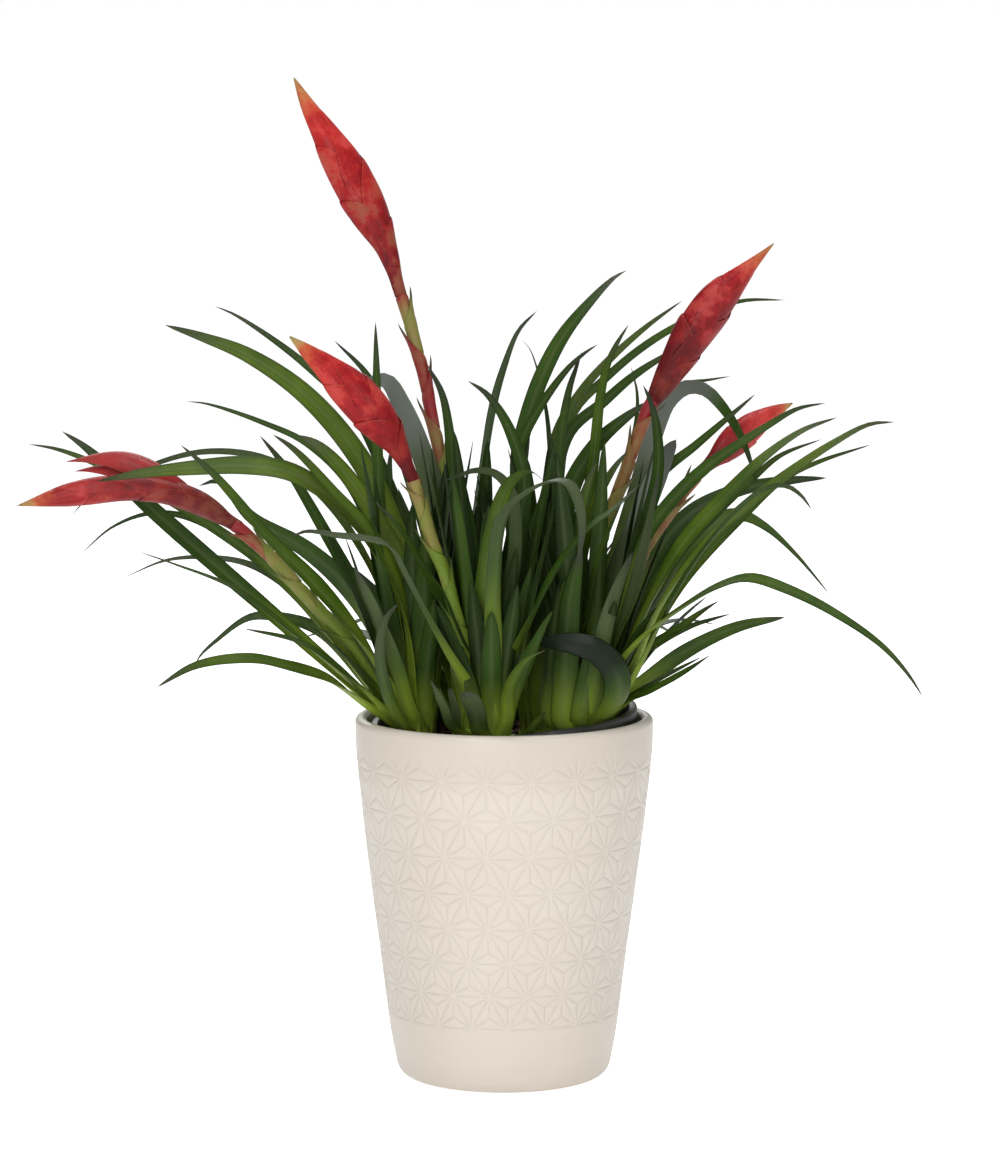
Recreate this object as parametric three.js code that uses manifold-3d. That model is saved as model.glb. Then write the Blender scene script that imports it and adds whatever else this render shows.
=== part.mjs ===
// Flaming sword bromeliad: a clump of five flowering shoots in a grower's pot, inside a glazed cachepot.
// Millimetres, +Z up. The origin is the middle of the cachepot's base, and the front is towards -Y.
import * as THREE from 'three';
import { mergeVertices } from 'three/addons/utils/BufferGeometryUtils.js';
import Module from 'manifold-3d';

const wasm = await Module();
wasm.setup();

// ---------------------------------------------------------------- driving dimensions
const GAP = 0.3;
// Edges shorter than SLIVER, left where blades cross, are closed up. Folds that touch in a point are
// drawn apart by PINCH, and points nearer than WELD are one.
const SLIVER = 0.03;
const PINCH = 0.04;
const WELD = 0.001;

const POT_HEIGHT = 122;
const POT_FOOT_RADIUS = 30;
const POT_WALL = 4;
const POT_FLOOR = 5;
const POT_SIDES = 36;
// Radius of the outside wall at each height, from the rounded foot to just below the lip.
const POT_OUTSIDE = [[36.2, 6], [37.9, 15], [41.3, 41.5], [44.8, 68], [48, 95], [49.6, 112]];
const POT_LIP_RADIUS = 49.8;
const POT_FOOT_CURVE = [35.6, 0.4];
const POT_FLOOR_CORNER = 3;

const GROWER_BASE_RADIUS = 28;
const GROWER_TOP_RADIUS = 43.2;
const GROWER_LIP_RADIUS = 44.6;
const GROWER_WALL = 1.2;
const GROWER_TOP = 123;
const GROWER_LIP_DROP = 4;
const GROWER_LIP_STEP = 0.6;
// The soft lip stands higher to the right and at the back.
const LIP_RISE_RIGHT = 1.3;
const LIP_RISE_BACK = 1;

const SOIL_TOP = 112;
const SOIL_CROWN = 1;
const CORE_RADIUS = 8.5;
const CORE_TAPER = 1;
const CORE_SIDES = 10;
const CORE_BOTTOM = 94;
const CORE_TOP = 123;
const ROOT_HEIGHT = 117;
const ROOT_SPREAD = 4.5;
const WELL_BOTTOM = 102;

// A blade's keel and its edges lie this far under and over its middle. Its clasping base, over this
// share of its length, is wider by the flare.
const BLADE = { stepLength: 20, stepTurn: 28, fewestSteps: 4, mostSteps: 8, keelDrop: 0.8, edgeLift: 0.5,
  flare: 0.3, flareShare: 0.25 };
// Shares of a spare blade's length at which its curve is worked out, and how it spreads and droops.
const SPARE = { shares: [0.3, 0.55, 0.8, 1], width: 7.5, taper: 2, droop: 0.34, spread: 1.15 };

const STALK_RADIUS = 1.9;
const STALK_STEPS = 9;
// Where the sheaths sit on a stalk, as shares of its length, and their sizes in stalk radii.
const SHEATH = { count: 4, first: 0.44, pitch: 0.12, length: 0.17, reach: 1.25, tip: 1.9 };

// A head's bracts start along this share of it, each as long as the next share, round a slim core.
const HEAD = { bracts: 8, lastStart: 0.62, bractLength: 0.42, end: 0.995, core: 0.55, coreSteps: 5,
  coreSides: 5 };
// A bract's half-width and the depth of its keel and of its mouth, in shares of its reach.
const BRACT = { steps: 4, waist: 0.55, bulge: 0.35, halfWidth: 0.95, keel: 0.72, mouth: 0.35, taper: 1.7 };

// Leaves, stalks and heads are laid out on a front sheet: millimetres across and up as someone sees them
// who stands in front of the plant and looks slightly down on it, and how deep they lie behind the
// pot's axis. A negative depth is nearer to that person.
const EYE = new THREE.Vector3(-1.2, -1600, 357);
const AIM = new THREE.Vector3(-1.2, 0, 166);
const SHEET_MIDDLE = 169.33;

// The five shoots: where each stands, its blades and its flower. A blade is
// [width, taper, roll, ...points on the front sheet], from just above its root to its tip. A higher
// taper keeps the blade wide for longer. Roll turns its upper face forward, in degrees, by mid-length.
// A spare blade fills the clump and is [direction seen from above, lean from upright, length].
const SHOOTS = {
  left: {
    at: [-29, -2],
    blades: [
      [7, 2.4, 47, [-48, 133, -6], [-80, 161.5, 0], [-117, 194, 8], [-139, 214.5, 14], [-147.3, 220.3, 16]],
      [5, 1.5, 42, [-45, 136, 0], [-75, 171.5, 6], [-105, 193.3, 12], [-130, 206.7, 20], [-148, 214, 26],
        [-158.5, 216, 30]],
      [4, 1.4, 42, [-44, 134, 6], [-72, 168, 20], [-100, 189.5, 30], [-116, 193, 34], [-130, 188.5, 38],
        [-141, 179.3, 40]],
      [4.5, 1.5, 32, [-43, 130, -14], [-70, 153, -28], [-90, 168, -40], [-110, 176, -50],
        [-122, 180.2, -56]],
      [4, 1.5, 37, [-46, 145, 6], [-70, 167, 24], [-84, 175.5, 34], [-96, 178, 42], [-112, 177.3, 50],
        [-127, 171.3, 56]],
      [5, 1.6, 57, [-44, 135, 8], [-60, 153, 26], [-75, 158.3, 42], [-85, 158, 52], [-95, 151, 60],
        [-102, 144, 65], [-103.3, 137.5, 67]],
      [4, 1.6, 42, [-42, 130, -17], [-57, 143, -34], [-68, 150, -46], [-86.8, 154.5, -62]],
      [6, 1.6, 47, [-45, 128.5, -12], [-58, 137.5, -34], [-72, 142, -52], [-85, 144.5, -66],
        [-103, 142, -80],
        [-115.8, 134.8, -88]],
      [9, 2.2, 52, [-43, 144, -20], [-60, 166, -30], [-80, 186.5, -38], [-97, 206, -42],
        [-107.8, 215.8, -43]],
      [8, 2, 62, [-36, 165, -6], [-46, 185.5, -10], [-58, 198.5, -16], [-72, 206.8, -22], [-87, 208.8, -26],
        [-103, 208, -29], [-120, 206.3, -31], [-136, 203.5, -32]],
      [3.5, 1.5, 42, [-40, 165, 8], [-60, 198, 10], [-78, 210.5, 10], [-98, 213.5, 10], [-117, 209, 10],
        [-139, 197.5, 10], [-144.2, 191.8, 10]],
      [5, 1.8, 47, [-38, 145, 8], [-48, 166, 16], [-58, 184, 22], [-70, 204.5, 28], [-76, 212.5, 31],
        [-81.3, 218.8, 33]],
      [7, 1.8, 52, [-40, 150, 12], [-52, 168.5, 30], [-66, 181, 42], [-84, 191.5, 52], [-95, 203.5, 58],
        [-101.7, 202, 60]],
      [8, 2, 47, [-33, 160, -12], [-43, 184.5, -15], [-57, 200.5, -18], [-70, 214.2, -20],
        [-77, 219.2, -21]],
      [8, 3.5, 42, [-33, 170, 0], [-41, 188, 2], [-52, 205, 4], [-62, 215.5, 7], [-68.5, 219, 10]],
      [5, 2.2, 72, [-36, 150, 6], [-41, 195, 10], [-42, 220, 13], [-42.3, 240, 15], [-42.7, 256.8, 17]],
      [3.5, 1.5, 37, [-37, 160, 4], [-50, 200, 12], [-65, 215.7, 20], [-80, 223, 28], [-99, 229.4, 37],
        [-106, 230.2, 40]],
      [4.5, 2, -20, [-34, 122, -16], [-39, 134, -27], [-41.3, 146, -33], [-39.5, 157, -36],
        [-35.3, 162.8, -38]],
      [8, 2, 15, [-33, 128, -14], [-37, 143, -24], [-43, 160, -32], [-50, 175, -38]],
    ],
    stalk: [[-38, 132, -6], [-51, 150, -8], [-62, 161, -9], [-72, 172.5, -10], [-80, 180.5, -11],
      [-87, 187, -12]],
    head: [[-92, 190.5, -12.5], [-102, 196.5, -13], [-114, 200.5, -14], [-128, 201.3, -15],
      [-145, 199, -16], [-162.3, 195.4, -17]],
    headRadius: 4.5,
    rank: 80,
    spare: [[175, 30, 62], [195, 38, 58], [210, 30, 64], [160, 22, 78], [230, 20, 58], [140, 14, 86],
      [185, 16, 70], [325, 10, 62], [350, 7, 76], [290, 16, 50]],
    openBracts: [
      [4.2, [-106, 200, -12], [-126, 209, -8], [-146.2, 210, -5]],
      [3.4, [-112, 201, -10], [-128, 206, -6], [-143, 206.8, -3]],
    ],
  },
  tall: {
    at: [-10, 17],
    blades: [
      [8, 2, 52, [-17, 140, 24], [-30, 172, 36], [-46, 208, 46], [-65, 231.5, 54], [-85, 245.5, 61],
        [-100, 251.5, 66], [-113, 255.7, 70]],
      [4.5, 1.5, 42, [-18, 150, 30], [-35, 195, 52], [-50, 227, 66], [-62, 239, 74], [-75, 249.5, 82],
        [-90, 259.3, 90], [-96.5, 262, 93]],
      [5, 1.6, 52, [-16, 150, 32], [-25, 185, 54], [-36, 218, 74], [-45, 238.5, 86], [-56.5, 250.6, 95]],
      [8, 3, 62, [-15, 150, 21], [-21, 192, 25], [-28, 215, 28], [-34, 229, 30], [-39, 237, 32],
        [-45, 236.5, 35], [-50, 229, 37]],
      [8, 2, 72, [-13, 150, 15], [-14.5, 185, 18], [-16.5, 205, 20], [-18.3, 223, 22], [-20.5, 233, 24],
        [-25.3, 242.4, 26]],
      [8, 2.2, 72, [-10, 150, 32], [-9.5, 190, 52], [-7, 210, 63], [-4, 228, 72], [0, 242, 79],
        [5, 254, 84],
        [11.2, 260.5, 87]],
      [5, 2, 62, [-20, 150, 34], [-30, 180, 44], [-37, 196, 50], [-38, 208, 54], [-37, 217, 57]],
    ],
    spare: [[110, 12, 92], [140, 20, 86], [75, 8, 96], [125, 30, 84], [95, 22, 88], [100, 62, 118],
      [113, 66, 132], [126, 64, 110], [150, 38, 80]],
    stalk: [[-9, 150, 22], [-14, 185, 27], [-20.5, 208, 31], [-23, 221, 33], [-26.5, 238, 36],
      [-30, 252, 38], [-33, 262, 40]],
    head: [[-35, 268, 41], [-39, 281, 43], [-44.7, 293, 45], [-51, 304.8, 47], [-57.8, 316.6, 49],
      [-64.8, 328.1, 51], [-70, 338.3, 53]],
    headRadius: 7.4,
    rank: 65,
    openBracts: [],
  },
  front: {
    at: [-4, -19],
    blades: [
      [8, 2, 10, [-4.5, 140, -24], [-6.5, 160, -29], [-5.5, 175, -34], [-3, 189, -41], [-0.5, 198, -48],
        [3, 204, -57], [9, 206.8, -68], [13.8, 203.5, -76]],
      [7, 1.8, 37, [-12, 134, -26], [-19, 147, -36], [-26, 160, -46], [-33, 173, -56], [-38, 182, -62],
        [-44, 184, -66], [-56, 185.5, -71], [-66, 186.8, -75], [-70.8, 185, -77]],
      [6, 1.8, 57, [-1, 150, -16], [5, 185, -12], [6.8, 205, -9], [3.5, 217, -7], [-1, 226.5, -5],
        [-6, 233, -4], [-12, 237.1, -3]],
      [5, 1.8, 72, [0, 150, -22], [4, 185, -20], [2.5, 200, -21], [-3, 206.3, -23], [-10, 207.2, -25],
        [-15, 205.4, -27], [-20, 203.8, -29]],
      [7, 1.8, 42, [-3, 140, -32], [-3, 170, -48], [0, 192, -60], [8, 200, -68], [16, 203.7, -74],
        [22, 202.5, -79], [25.5, 194, -84], [26, 186, -87], [24.6, 175.5, -90]],
      [5, 2.2, 10, [1.3, 124, -30], [1.5, 132, -37], [4, 139, -46], [8, 144.3, -55], [14, 147.3, -64]],
      [4.5, 1.8, 0, [-17, 121, -29], [-20, 128, -36], [-24.3, 137.3, -42]],
      [5, 5, 0, [-15, 121, -24], [-16.5, 128, -28], [-18, 134.7, -31]],
      [7, 8, 0, [-8, 120, -30], [-9.5, 127, -36], [-12.5, 133.5, -42]],
      [5, 2.4, 0, [8.5, 119.5, -29], [11, 123, -32], [14, 127, -34]],
      [4, 1.8, 42, [-8, 140, -24], [-14, 152, -29], [-20, 166, -34], [-25.5, 174, -37], [-30, 179.5, -39]],
      [6, 1.8, 42, [-9, 138, -20], [-18, 158, -22], [-26, 173, -25], [-34, 187, -29], [-43, 197, -33]],
      [8, 2, 42, [2, 140, -26], [9, 158, -34], [18, 175, -41], [28, 187.5, -47], [37, 194.5, -51],
        [46, 203, -54]],
    ],
    stalk: [[-8, 135, -23], [-12, 148, -25], [-16, 160, -27], [-20.5, 175, -29], [-24, 184, -31],
      [-27.5, 195, -33], [-29, 200, -34]],
    head: [[-31, 206, -35], [-36, 216, -37], [-43, 225.5, -39], [-50, 233, -41], [-58, 240.5, -43],
      [-65, 246.5, -45], [-71.5, 252, -47]],
    headRadius: 7.4,
    rank: 60,
    spare: [[250, 15, 58], [270, 25, 54], [290, 20, 60], [310, 28, 56], [230, 25, 56], [262, 8, 78],
      [205, 14, 48]],
    openBracts: [],
  },
  back: {
    at: [12, 16],
    blades: [
      [9, 2.6, 57, [10, 150, 26], [6.5, 190, 38], [5.5, 212, 45], [8, 224, 49], [13, 238.5, 54],
        [20, 252, 60], [30, 264.5, 66], [37, 271.5, 70], [41.3, 274, 73]],
      [5, 1.7, 52, [9, 150, 20], [5, 195, 22], [6, 216, 24], [11, 226.5, 26], [20.5, 240, 28],
        [26, 245.5, 29], [31.5, 249.3, 30]],
      [3.5, 1.5, 52, [13, 150, 30], [16, 195, 46], [15.3, 215, 54], [14, 228, 60], [11, 241.5, 66],
        [8.5, 248, 69], [5.5, 251.3, 71]],
      [5, 2, 62, [14, 150, 20], [17, 185, 24], [18.3, 207, 26], [19.5, 222, 28], [22, 235, 30],
        [24, 241, 31],
        [26, 246.8, 32]],
      [4.5, 1.7, 47, [15, 150, 26], [15, 190, 38], [17, 218, 48], [25, 232.5, 56], [35, 244, 64],
        [47, 254.7, 72], [59.7, 263.9, 80]],
      [5, 1.8, 62, [18, 150, 18], [27, 190, 20], [30.5, 215, 22], [32, 230, 24], [34.5, 242, 25],
        [37.5, 249, 26], [41.8, 256, 27]],
      [4, 1.5, 47, [16, 150, 34], [18, 200, 56], [23, 226, 70], [34, 238, 80], [48, 249.5, 90],
        [66, 259.5, 100], [80, 263.8, 108], [94, 264, 115]],
      [5, 1.8, 47, [18, 160, 28], [17, 200, 40], [22, 220, 48], [33, 229.8, 55], [43, 238.5, 60],
        [53, 245, 64], [62, 250, 68]],
      [3, 1.5, 42, [25, 160, 30], [38, 200, 40], [44, 222, 46], [44.5, 233, 49], [42.4, 242, 51]],
      [8, 2, 52, [17, 170, 22], [22, 200, 25], [31, 216, 28], [41, 225, 31], [50, 231, 34]],
      [3.5, 1.5, 42, [28, 170, 30], [42, 212, 42], [52, 231, 50], [60, 236, 54], [68, 237.3, 59],
        [75.8, 238.6, 64]],
    ],
    spare: [[80, 10, 96], [50, 16, 92], [20, 12, 82], [100, 20, 88], [65, 28, 85], [35, 25, 78],
      [52, 62, 112], [66, 66, 128], [80, 60, 106], [92, 66, 120]],
    stalk: [[21, 150, 16], [30, 176, 14], [37, 197, 12], [41.5, 209, 11], [45.3, 220, 10], [48, 227.5, 9]],
    head: [[51.3, 232.7, 9], [56.7, 241.9, 8], [61.8, 250.6, 7], [67.8, 259.5, 6], [73.9, 267, 5],
      [81.4, 274.5, 4], [90.2, 283, 3]],
    headRadius: 7.4,
    rank: 65,
    openBracts: [],
  },
  right: {
    at: [27, -5],
    blades: [
      [5, 1.7, 47, [33, 150, 0], [42, 185, 6], [51, 204.5, 9], [64, 215.5, 11], [71, 221.5, 12],
        [78, 227.5, 13], [84, 232.7, 14]],
      [6, 1.8, 52, [36, 150, -10], [47, 184, -10], [57, 198, -8], [68, 208.5, -5], [78, 215.5, -2],
        [88, 222, 1], [98, 227.7, 4], [107.5, 229.7, 6]],
      [8, 2, 52, [38, 140, -14], [49, 164, -20], [60, 183, -25], [74, 198.5, -28], [87, 211.5, -30],
        [100, 220.6, -31], [111.3, 224.9, -32]],
      [3.5, 1.6, 42, [40, 150, -4], [56, 180, 0], [72, 198, 4], [84, 209, 7], [93.5, 215.7, 9]],
      [4, 1.6, 42, [38, 140, 2], [56, 176, 16], [70, 192, 26], [82, 203.5, 33], [92, 212, 38],
        [106, 217.6, 44]],
      [7, 2.2, 52, [41, 136, -18], [52, 162, -28], [66, 181, -37], [80, 194.5, -44], [97, 207.5, -50],
        [110, 216.2, -54], [122, 222.5, -57], [130.5, 223.3, -59]],
      [4, 1.6, 42, [40, 135, -2], [60, 170, 8], [80, 192, 18], [93, 204, 24], [105, 210, 29],
        [122.5, 215.8, 36]],
      [7, 1.9, 57, [38, 145, 6], [50, 178, 24], [62, 192.5, 34], [75, 199.5, 42], [85, 202.3, 48],
        [97, 204, 55], [107.8, 204.7, 61]],
      [5, 1.6, 52, [42, 136, -22], [58, 168, -40], [74, 190, -52], [87, 201, -60], [94, 202, -64],
        [99, 199, -67], [102.8, 194, -69]],
      [6, 1.9, 52, [40, 140, 10], [56, 172, 30], [68, 188, 42], [78, 192.3, 50], [87, 188.5, 57],
        [97, 179.5, 64], [104, 171.5, 69], [108.8, 165.6, 72]],
      [6, 2.4, 72, [33, 140, -14], [38, 152, -18], [43.5, 168, -20], [47.5, 184, -21], [49.8, 196, -22],
        [52, 207, -22]],
      [6, 2.4, 62, [24, 140, -14], [28, 162, -16], [31.5, 178, -17], [36, 189, -18], [40, 198, -18]],
      [8, 2.2, 42, [22, 150, -8], [26, 180, -7], [31, 197, -7], [37, 208, -7], [41.5, 213.7, -7]],
      [7, 2.2, 52, [20, 140, -12], [22, 165, -14], [24, 185, -15], [27, 200, -16], [31, 210, -16]],
      [6, 2.2, 32, [19, 135, -15], [19, 150, -18], [19.8, 165, -20], [21.5, 176, -21]],
      [5, 1.7, 42, [36, 138, -18], [46, 151.5, -30], [60, 162, -44], [72, 168.8, -54], [82, 171.3, -62],
        [95, 167.3, -70], [110, 159.8, -78], [126, 148.8, -85], [135, 139, -89], [140, 131.3, -91]],
      [5, 1.9, 42, [37, 138, -8], [45, 146, -10], [57, 153.5, -13], [66, 160, -15], [71.7, 163.7, -16]],
      [4, 1.6, 32, [37, 136, -2], [48, 147, 4], [62, 155, 11], [70, 157.7, 15], [75.8, 159.4, 18]],
      [6, 1.8, 47, [40, 131, 0], [50, 139, 10], [62, 147.5, 22], [78, 155, 34], [93.8, 158.3, 46]],
      [4.5, 1.8, 42, [41, 130, -12], [50, 134.3, -22], [62, 141, -32], [69, 145.7, -38]],
      [3.5, 1.8, 32, [41, 130.5, -8], [52, 137.5, -10], [66, 145, -12]],
      [9.5, 3.2, 0, [31, 123, -19], [36, 128, -26], [38.3, 134.5, -31], [37, 141, -34],
        [31.5, 146.7, -35], [24.5, 149.3, -34], [17.5, 150, -32], [11.5, 149.7, -28]],
      [8, 2.4, 0, [26, 124, -22], [28.5, 138, -26], [32, 152, -28], [37, 166, -29]],
      [9, 2.4, 10, [20, 122, -19], [20.5, 136, -22], [21, 150, -24], [22.5, 166, -25], [26, 182, -25]],
      [8, 2.2, 5, [15, 124, -12], [15.5, 138, -14], [17, 154, -16], [19, 172, -17]],
      [7, 2.2, 10, [30, 126, -22], [31, 138, -26], [33, 150, -28], [37, 165, -29], [43, 180, -30]],
      [6, 1.8, 62, [36, 155, -6], [46, 185, -5], [51.5, 207, -4], [51, 222, -4], [48.7, 231, -4],
        [46.4, 235.8, -4]],
      [7, 1.8, 57, [34, 160, 14], [43, 195, 23], [51, 222, 25], [55, 230.5, 24], [61, 235, 23],
        [67, 234.3, 21], [73, 228.5, 19], [79, 219, 16], [83, 208, 13], [84, 203, 12]],
      [8, 7, 72, [34, 160, 2], [45, 190, 4], [50.5, 204, 5], [54, 212, 6], [57.5, 217.5, 8]],
    ],
    stalk: [[34, 150, 3], [43, 173, 10], [51, 187, 16], [58.5, 198, 20], [62.5, 203, 22]],
    head: [[66, 207, 23], [73, 213.5, 26], [80, 219.5, 30], [88, 225.3, 34], [96.5, 229.7, 38]],
    headRadius: 5.4,
    rank: 70,
    spare: [[-20, 25, 68], [-45, 30, 58], [0, 18, 76], [20, 25, 74], [-70, 25, 56], [40, 20, 82],
      [5, 35, 64]],
    openBracts: [],
  },
};

const COLOURS = {
  glaze: { color: 0xdfd6c8, roughness: 0.35, metalness: 0 },
  plastic: { color: 0x1c1e1c, roughness: 0.5, metalness: 0 },
  soil: { color: 0x3a2a1e, roughness: 0.95, metalness: 0 },
  leaf: { color: 0x3c5a1c, roughness: 0.4, metalness: 0 },
  stalk: { color: 0x7d8a35, roughness: 0.45, metalness: 0 },
  bract: { color: 0xc01f22, roughness: 0.3, metalness: 0 },
};

// ---------------------------------------------------------------- solids
function toSolid(geometry) {
  geometry.deleteAttribute('normal');
  geometry.deleteAttribute('uv');
  const merged = mergeVertices(geometry, WELD);
  const corners = [];
  for (let i = 0; i < merged.index.count; i += 3) {
    const [a, b, c] = [0, 1, 2].map((k) => merged.index.getX(i + k));
    if (a !== b && b !== c && c !== a) corners.push(a, b, c);
  }
  const mesh = new wasm.Mesh({
    numProp: 3,
    vertProperties: new Float32Array(merged.attributes.position.array),
    triVerts: new Uint32Array(corners),
  });
  return new wasm.Manifold(mesh);
}

function surfaceOf(solid) {
  const mesh = solid.getMesh();
  const geometry = new THREE.BufferGeometry();
  geometry.setAttribute('position', new THREE.BufferAttribute(new Float32Array(mesh.vertProperties), 3));
  geometry.setIndex(new THREE.BufferAttribute(new Uint32Array(mesh.triVerts), 1));
  geometry.computeVertexNormals();
  return geometry;
}

function toGeometry(solid) {
  const welded = surfaceOf(toSolid(surfaceOf(solid)));
  openPinches(welded);
  return welded;
}

// Where two folds of a surface touch in a point, each is drawn back along its own normal.
function openPinches(geometry) {
  const { position, normal } = geometry.attributes;
  const places = Array.from({ length: position.count }, (_, i) => (
    new THREE.Vector3().fromBufferAttribute(position, i)
  ));
  const pinched = new Set();
  places.forEach((place, i) => {
    for (let j = i + 1; j < places.length; j += 1) {
      if (place.distanceTo(places[j]) < PINCH / 4) pinched.add(i).add(j);
    }
  });
  for (const i of pinched) {
    const inward = new THREE.Vector3().fromBufferAttribute(normal, i).multiplyScalar(-PINCH);
    const moved = places[i].add(inward);
    position.setXYZ(i, moved.x, moved.y, moved.z);
  }
}

// The one body of a joined solid: its largest piece, without loose scraps.
function mainBody(solid) {
  const bodies = solid.simplify(SLIVER).decompose();
  return bodies.sort((a, b) => b.volume() - a.volume())[0];
}

function makeMesh(name, solid, look) {
  const mesh = new THREE.Mesh(toGeometry(mainBody(solid)), new THREE.MeshStandardMaterial(COLOURS[look]));
  mesh.name = name;
  return mesh;
}

function turned(points) {
  const geometry = new THREE.LatheGeometry(points, POT_SIDES);
  geometry.rotateX(Math.PI / 2);
  return toSolid(geometry);
}

function upright(radiusTop, radiusBottom, bottom, top, [x, y]) {
  const geometry = new THREE.CylinderGeometry(radiusTop, radiusBottom, top - bottom, CORE_SIDES);
  geometry.rotateX(Math.PI / 2);
  geometry.translate(x, y, (top + bottom) / 2);
  return toSolid(geometry);
}

// ---------------------------------------------------------------- curves
const forward = AIM.clone().sub(EYE);
const sheetUp = new THREE.Vector3(0, -forward.z, forward.y).normalize();

// The point in space at a place on the front sheet, `depth` behind the pot's axis.
function seen([across, up, depth]) {
  const ray = forward.clone().addScaledVector(sheetUp, up - SHEET_MIDDLE);
  ray.x += across - AIM.x;
  return EYE.clone().addScaledVector(ray, (depth - EYE.y) / ray.y);
}

function smooth(points) {
  return new THREE.CatmullRomCurve3(points, false, 'centripetal');
}

// How far a curve turns in all, in degrees.
function turning(curve) {
  const tangents = [0, 0.2, 0.4, 0.6, 0.8, 1].map((share) => curve.getTangentAt(share));
  const turns = tangents.slice(1).map((tangent, i) => tangent.angleTo(tangents[i]));
  return THREE.MathUtils.radToDeg(turns.reduce((sum, turn) => sum + turn, 0));
}

// Frames along a curve that starts with the given side vector and doesn't twist.
function framesAlong(curve, firstSide, steps) {
  const frames = [];
  let side = firstSide.clone();
  for (let i = 0; i <= steps; i += 1) {
    const at = curve.getPointAt(i / steps);
    const along = curve.getTangentAt(i / steps);
    side = side.clone().addScaledVector(along, -side.dot(along)).normalize();
    frames.push({ at, along, side });
  }
  return frames;
}

// The same surface as in a mirror, with its faces still pointing outwards.
function mirror(geometry) {
  geometry.scale(-1, 1, 1);
  const corners = geometry.index.array;
  for (let i = 0; i < corners.length; i += 3) {
    [corners[i], corners[i + 1]] = [corners[i + 1], corners[i]];
  }
}

// A closed spindle on a curve: section(share, angle) gives [sideways, outwards] of the frame, and the
// far end is a point. A section that turns the other way along the curve is mirrored, so that the
// diagonals of its faces still stand proud.
function spindle(curve, firstSide, steps, sides, section, mirrored = false) {
  const frames = framesAlong(curve, firstSide, steps);
  const geometry = new THREE.CylinderGeometry(0, 1, 1, sides, steps);
  if (mirrored) mirror(geometry);
  const position = geometry.attributes.position;
  for (let i = 0; i < position.count; i += 1) {
    const share = position.getY(i) + 0.5;
    const frame = frames[Math.round(share * steps)];
    const point = frame.at.clone();
    const reach = Math.hypot(position.getX(i), position.getZ(i));
    if (reach > 1e-6) {
      const [sideways, outwards] = section(share, Math.atan2(position.getX(i), position.getZ(i)));
      point.addScaledVector(frame.side, sideways);
      point.addScaledVector(frame.side.clone().cross(frame.along), outwards);
    }
    position.setXYZ(i, point.x, point.y, point.z);
  }
  return toSolid(geometry);
}

// ---------------------------------------------------------------- pots and soil
function potOutside() {
  const wall = new THREE.SplineCurve(POT_OUTSIDE.map(([r, z]) => new THREE.Vector2(r, z)));
  return wall.getPoints(5);
}

function makePot() {
  const profile = new THREE.Path();
  profile.moveTo(0, 0);
  profile.lineTo(POT_FOOT_RADIUS, 0);
  profile.quadraticCurveTo(...POT_FOOT_CURVE, ...POT_OUTSIDE[0]);
  const foot = profile.getPoints(3);
  const outside = potOutside();
  const lip = new THREE.Path();
  const lipRadius = POT_WALL / 2;
  const lipMiddle = POT_LIP_RADIUS - lipRadius;
  lip.absarc(lipMiddle, POT_HEIGHT - lipRadius, lipRadius, 0, Math.PI, false);
  const inside = outside.filter((p, i) => i % 2).map((p) => new THREE.Vector2(p.x - POT_WALL, p.y));
  inside.reverse();
  const corner = new THREE.Vector2(inside.at(-1).x - POT_FLOOR_CORNER, POT_FLOOR);
  const floor = [corner, new THREE.Vector2(0, POT_FLOOR)];
  const points = [...foot, ...outside.slice(1), ...lip.getPoints(3), ...inside, ...floor];
  return makeMesh('pot', turned(points), 'glaze');
}

function growerRadius(z) {
  const share = (z - POT_FLOOR) / (GROWER_TOP - POT_FLOOR);
  return THREE.MathUtils.lerp(GROWER_BASE_RADIUS, GROWER_TOP_RADIUS, share);
}

function makeGrowerPot() {
  const bottom = POT_FLOOR + GAP;
  const underLip = GROWER_TOP - GROWER_LIP_DROP;
  const points = [
    [0, bottom],
    [growerRadius(bottom), bottom],
    [growerRadius(underLip), underLip],
    [GROWER_LIP_RADIUS, underLip + GROWER_LIP_STEP],
    [GROWER_LIP_RADIUS, GROWER_TOP],
    [growerRadius(GROWER_TOP) - GROWER_WALL, GROWER_TOP],
    [growerRadius(bottom) - GROWER_WALL, bottom + GROWER_WALL],
    [0, bottom + GROWER_WALL],
  ];
  const shell = turned(points.map(([r, z]) => new THREE.Vector2(r, z)));
  const raised = shell.warp((v) => {
    if (v[2] > underLip - WELD) {
      v[2] += (LIP_RISE_RIGHT * v[0] + LIP_RISE_BACK * v[1]) / GROWER_LIP_RADIUS;
    }
  });
  return makeMesh('nursery_pot', raised, 'plastic');
}

function makeSoil() {
  const bottom = POT_FLOOR + GAP + GROWER_WALL + GAP;
  const clear = GROWER_WALL + GAP;
  const points = [
    new THREE.Vector2(0, bottom),
    new THREE.Vector2(growerRadius(bottom) - clear, bottom),
    new THREE.Vector2(growerRadius(SOIL_TOP) - clear, SOIL_TOP),
    new THREE.Vector2(0, SOIL_TOP + SOIL_CROWN),
  ];
  let soil = turned(points);
  for (const { at } of Object.values(SHOOTS)) {
    const radius = CORE_RADIUS + GAP;
    soil = soil.subtract(upright(radius, radius, CORE_BOTTOM - GAP, CORE_TOP, at));
  }
  return makeMesh('soil', soil, 'soil');
}

// ---------------------------------------------------------------- shoots
function rootOf(shoot, towards) {
  const out = new THREE.Vector3(towards.x - shoot.at[0], towards.y - shoot.at[1], 0).normalize();
  return new THREE.Vector3(shoot.at[0], shoot.at[1], ROOT_HEIGHT).addScaledVector(out, ROOT_SPREAD);
}

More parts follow.
